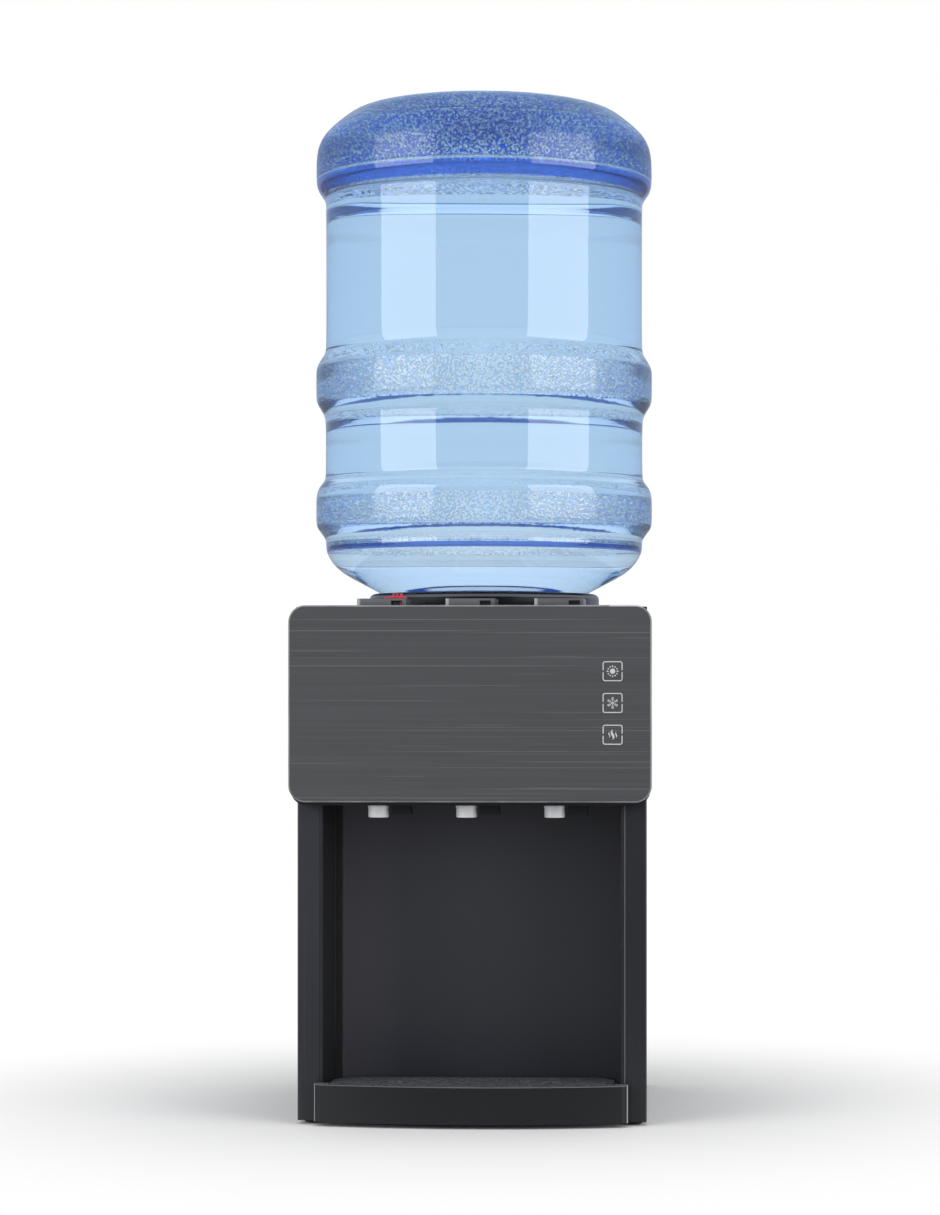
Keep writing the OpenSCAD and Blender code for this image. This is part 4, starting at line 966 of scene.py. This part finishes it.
def plate_material():
    """A dark brushed plate: fine lines all along, and a few longer and brighter ones with soft ends."""
    m = material("brushed_plate")
    n = Net(m)
    tc_ = n.add("ShaderNodeTexCoord")
    xyz = n.add("ShaderNodeSeparateXYZ")
    n.t.links.new(tc_.outputs["Object"], xyz.inputs[0])
    fine = n.noise(1, 3, 0.7, vec=n.coords(scale=(5, 1, 900)))
    broad = n.noise(1, 2, 0.5, vec=n.coords(scale=(2.5, 1, 140)))
    c = n.mix(n.ramp(fine, [(0.30, 0.0), (0.75, 1.0)]), lin(73, 74, 75), lin(81, 82, 84))
    c = n.mix(n.math("MULTIPLY", n.ramp(broad, [(0.5, 0.0), (0.72, 1.0)]), 0.35), c, lin(87, 88, 90))

    def streaks(pitch, share, short, long, seed, strength):
        row = n.math("FLOOR", n.math("DIVIDE", xyz.outputs["Z"], pitch))
        vals = []
        for q in range(4):
            wn_ = n.add("ShaderNodeTexWhiteNoise", noise_dimensions="1D")
            n.t.links.new(n.math("ADD", n.math("MULTIPLY", row, 1.37), seed + q * 17.31), wn_.inputs["W"])
            vals.append(wn_.outputs["Value"])
        pick = n.math("GREATER_THAN", vals[0], 1 - share)
        mid = n.math("MULTIPLY", n.math("SUBTRACT", vals[1], 0.5), 0.30)
        half = n.math("ADD", short, n.math("MULTIPLY", vals[2], long - short))
        away = n.math("DIVIDE", n.math("ABSOLUTE", n.math("SUBTRACT", xyz.outputs["X"], mid)), half)
        soft = n.add("ShaderNodeMapRange", interpolation_type="SMOOTHSTEP")
        n.t.links.new(away, soft.inputs["Value"])
        soft.inputs["From Min"].default_value, soft.inputs["From Max"].default_value = 0.35, 1.0
        soft.inputs["To Min"].default_value, soft.inputs["To Max"].default_value = 1.0, 0.0
        across = n.math("SUBTRACT", n.math("DIVIDE", xyz.outputs["Z"], pitch), row)
        body_ = n.math("MULTIPLY", n.math("MULTIPLY", n.math("MULTIPLY", across, n.math("SUBTRACT", 1.0, across)), 4.0), n.math("ADD", 0.45, n.math("MULTIPLY", vals[3], 0.55)))
        return n.math("MULTIPLY", n.math("MULTIPLY", pick, soft.outputs[0]), n.math("MULTIPLY", body_, strength))

    marks = n.math("MAXIMUM", streaks(0.00078, 0.085, 0.05, 0.24, 3.1, 0.85), streaks(0.0009, 0.12, 0.015, 0.09, 41.7, 0.5))
    c = n.mix(marks, c, lin(116, 117, 118))
    r = n.math("ADD", 0.40, n.math("MULTIPLY", fine, 0.10))
    nrm = n.bump(fine, 0.00003, 0.5)
    p_, _ = n.principled(Base_Color=c, Roughness=r, Normal=nrm)
    p_.inputs["Specular IOR Level"].default_value = 0.35
    return m


f_lo, f_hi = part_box("front_fascia")
FW, FH = (f_hi.x - f_lo.x) / MM, (f_hi.z - f_lo.z) / MM
FZ = (f_lo.z + f_hi.z) / 2 / MM
FY0, FY1 = f_lo.y / MM, f_hi.y / MM
plate_face = plate_material()
plate_rim = material("plate_edge")
_n = Net(plate_rim)
_worn = _n.ramp(_n.noise(60, 3, vec=_n.coords(scale=(1, 1, 0.4))), [(0.3, 0.0), (0.7, 1.0)])
_c = _n.mix(_worn, lin(112, 112, 114), lin(150, 150, 152))
# painted highlight: a glint on the top edge at the right end
_painted_glint = _n.math("MULTIPLY", zone(_n, "X", 0.1075, 0.1090), zone(_n, "Z", 0.4025, 0.4035))
_c = _n.mix(_painted_glint, _c, lin(196, 196, 197))
_n.principled(Base_Color=_c, Roughness=_n.math("ADD", 0.30, _n.math("MULTIPLY", _worn, 0.08)), Normal=_n.bump(_worn, 0.00002, 0.5))
plate_back = moulded("plate_back", lin(30, 30, 31), rough=0.5)


def build_plate():
    stations = [(1.0, FY1 - 0.2, 2), (0.25, FY1 - 0.2, 2), (0.0, FY1 - 0.45, 1), (0.0, FY0 + 1.15, 1)]
    for k in range(1, 6):
        a = math.radians(90 * k / 5)
        stations.append((1.15 * (1 - math.cos(a)), FY0 + 1.15 * (1 - math.sin(a)), 1))
    stations.append((1.9, FY0, 0))
    verts, faces, mats = [], [], []
    n_ = None
    for inset, y_, _ in stations:
        pts = rounded(FW, FH, 13.0, inset, 12, 0.0, FZ)
        n_ = len(pts)
        verts += [(x_ * MM, y_ * MM, z_ * MM) for x_, z_ in pts]
    for q in range(len(stations) - 1):
        for j in range(n_):
            k = (j + 1) % n_
            faces.append((q * n_ + j, q * n_ + k, (q + 1) * n_ + k, (q + 1) * n_ + j))
            mats.append(stations[q + 1][2])
    faces.append(tuple(range(n_))); mats.append(2)  # back
    last = (len(stations) - 1) * n_
    faces.append(tuple(last + j for j in range(n_ - 1, -1, -1))); mats.append(0)
    o_ = mesh_piece("fascia_plate", verts, faces, [plate_face, plate_rim, plate_back], "housing", sharp=40, face_mats=mats, replaces=("front_fascia",))
    bm_ = bmesh.new(); bm_.from_mesh(o_.data)
    bmesh.ops.recalc_face_normals(bm_, faces=bm_.faces[:])
    bm_.to_mesh(o_.data); bm_.free()
    return o_


build_plate()


class Flat:
    """Thin raised shapes on the front of the plate, in millimetres of X and Z."""

    def __init__(self, cx, cz):
        self.cx, self.cz, self.v, self.f = cx, cz, [], []

    def prism(self, pts, up=0.16):
        at, n_ = len(self.v), len(pts)
        y0, y1 = FY0 + 0.05, FY0 - up
        for y_ in (y0, y1):
            self.v += [((self.cx + x_) * MM, y_ * MM, (self.cz + z_) * MM) for x_, z_ in pts]
        self.f.append(tuple(at + n_ + j for j in range(n_)))
        self.f.append(tuple(at + j for j in range(n_ - 1, -1, -1)))
        for j in range(n_):
            k = (j + 1) % n_
            self.f.append((at + j, at + k, at + n_ + k, at + n_ + j))

    def ribbon(self, path, width):
        """width is a number or a list, one for each point."""
        p_ = np.asarray(path, float)
        w_ = np.broadcast_to(np.asarray(width, float), (len(p_),))
        t_ = np.gradient(p_, axis=0)
        t_ /= np.linalg.norm(t_, axis=1)[:, None]
        nn = np.c_[-t_[:, 1], t_[:, 0]] * w_[:, None] / 2
        self.prism([tuple(q) for q in np.vstack([p_ - nn, (p_ + nn)[::-1]])])

    def disc(self, r, n_=32, cx=0.0, cz=0.0):
        self.prism([(cx + r * math.cos(2 * math.pi * k / n_), cz + r * math.sin(2 * math.pi * k / n_)) for k in range(n_)])

    def frame(self, side=15.4, line=0.75, r=1.5, gap=1.5):
        h = side / 2 - line / 2
        for s_ in (1, -1):
            path = [(-h, s_ * gap / 2)]
            for cx_, a0, a1 in ((-h + r, 180, 90), (h - r, 90, 0)):
                for k in range(7):
                    a = math.radians(a0 + (a1 - a0) * k / 6)
                    path.append((cx_ + r * math.cos(a), s_ * (h - r + r * math.sin(a))))
            path.append((h, s_ * gap / 2))
            self.ribbon(path, line)

    def done(self, name, mat_):
        o_ = mesh_piece(name, self.v, self.f, [mat_], "housing", sharp=40)
        bm_ = bmesh.new(); bm_.from_mesh(o_.data)
        bmesh.ops.recalc_face_normals(bm_, faces=bm_.faces[:])
        bm_.to_mesh(o_.data); bm_.free()
        return o_


def turn(pts, deg):
    a = math.radians(deg)
    return [(x_ * math.cos(a) - z_ * math.sin(a), x_ * math.sin(a) + z_ * math.cos(a)) for x_, z_ in pts]


g_lo, g_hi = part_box("light_guides")
IX = (g_lo.x + g_hi.x) / 2 / MM
IZ = [g_hi.z / MM - 8.5, (g_lo.z + g_hi.z) / 2 / MM, g_lo.z / MM + 8.5]
symbol_white = moulded("symbol_white", lin(214, 215, 216), rough=0.45, grain=0.00001, vary=0.06)

sun = Flat(IX, IZ[0])
sun.frame()
sun.disc(2.05)
for k in range(12):
    r0, r1 = (3.05, 4.55) if k % 3 == 0 else (3.15, 4.35)
    sun.ribbon(turn([(r0, 0), ((r0 + r1) / 2, 0), (r1, 0)], 30 * k), [0.55, 1.0, 0.75])
sun.done("symbol_power", symbol_white)

flake = Flat(IX, IZ[1])
flake.frame()
flake.disc(0.75, 12)
for k in range(6):
    flake.ribbon(turn([(0.5, 0), (2.5, 0), (4.5, 0)], 90 + 60 * k), 0.62)
    for r_, l_ in ((1.9, 1.25), (3.1, 1.35)):
        for s_ in (45, -45):
            tip = (r_ + l_ * math.cos(math.radians(s_)), l_ * math.sin(math.radians(s_)))
            flake.ribbon(turn([(r_, 0), tuple((np.array((r_, 0)) + tip) / 2), tip], 90 + 60 * k), 0.52)
flake.done("symbol_cooling", symbol_white)

steam = Flat(IX, IZ[2])
steam.frame()
for cx_, h_, w_, b_ in ((-2.55, 4.7, 0.8, 0.38), (0.0, 8.0, 1.75, 0.72), (2.75, 4.7, 0.95, 0.38)):
    t_ = np.linspace(-1, 1, 17)
    steam.ribbon([(cx_ + b_ * math.sin(math.pi * a), -a * h_ / 2) for a in t_], [max(0.12, w_ * math.cos(a * math.pi / 2) ** 0.8) for a in t_])
steam.done("symbol_heating", symbol_white)


# ---------------------------------------------------------------- return springs, one round each push rod, at the length of the CAD node
def build_spring(which):
    rod_lo, rod_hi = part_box(which + "_push_rod")
    lo_, hi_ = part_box("return_springs")
    cx_, cy_ = (rod_lo.x + rod_hi.x) / 2, (rod_lo.y + rod_hi.y) / 2
    wire, coil = 0.00055, (hi_.y - lo_.y) / 2 - 0.0003
    z0_, z1_ = lo_.z + wire, hi_.z - wire
    turns, per, sides = 7, 28, 10
    t_ = np.linspace(0, turns, turns * per + 1)
    closed = 2 * wire * 1.05
    pitch = (z1_ - z0_ - 2 * closed) / (turns - 2)
    z_ = z0_ + np.where(t_ < 1, t_ * closed, np.where(t_ > turns - 1, z1_ - z0_ - (turns - t_) * closed, closed + (t_ - 1) * pitch))
    a_ = 2 * np.pi * t_
    path = np.c_[cx_ + (coil - wire) * np.cos(a_), cy_ + (coil - wire) * np.sin(a_), z_]
    along = np.gradient(path, axis=0)
    along /= np.linalg.norm(along, axis=1)[:, None]
    out_ = np.c_[np.cos(a_), np.sin(a_), np.zeros(len(a_))]
    side = np.cross(along, out_)
    q_ = np.linspace(0, 2 * np.pi, sides, endpoint=False)
    v = (path[:, None] + wire * (np.cos(q_)[None, :, None] * out_[:, None] + np.sin(q_)[None, :, None] * side[:, None])).reshape(-1, 3)
    f = []
    for i in range(len(path) - 1):
        for j in range(sides):
            k = (j + 1) % sides
            f.append((i * sides + j, i * sides + k, (i + 1) * sides + k, (i + 1) * sides + j))
    f.append(tuple(range(sides - 1, -1, -1)))
    f.append(tuple((len(path) - 1) * sides + j for j in range(sides)))
    o_ = mesh_piece("return_spring_" + which, v, f, [M["stainless"]], "housing", sharp=50, replaces=("return_springs",))
    bm_ = bmesh.new(); bm_.from_mesh(o_.data)
    bmesh.ops.recalc_face_normals(bm_, faces=bm_.faces[:])
    bm_.to_mesh(o_.data); bm_.free()
    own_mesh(o_)


for which in ("hot", "ambient", "cold"):
    build_spring(which)

for node_name, o in frame["nodes"].items():
    if o.hide_render:
        continue
    soft_edge = node_name.endswith("_key") or node_name == "top_cover"
    dress(node_name, OWN.get(node_name) or M[slot_of[node_name]], width=1.1 if soft_edge else 0.35, segments=3 if soft_edge else 2)
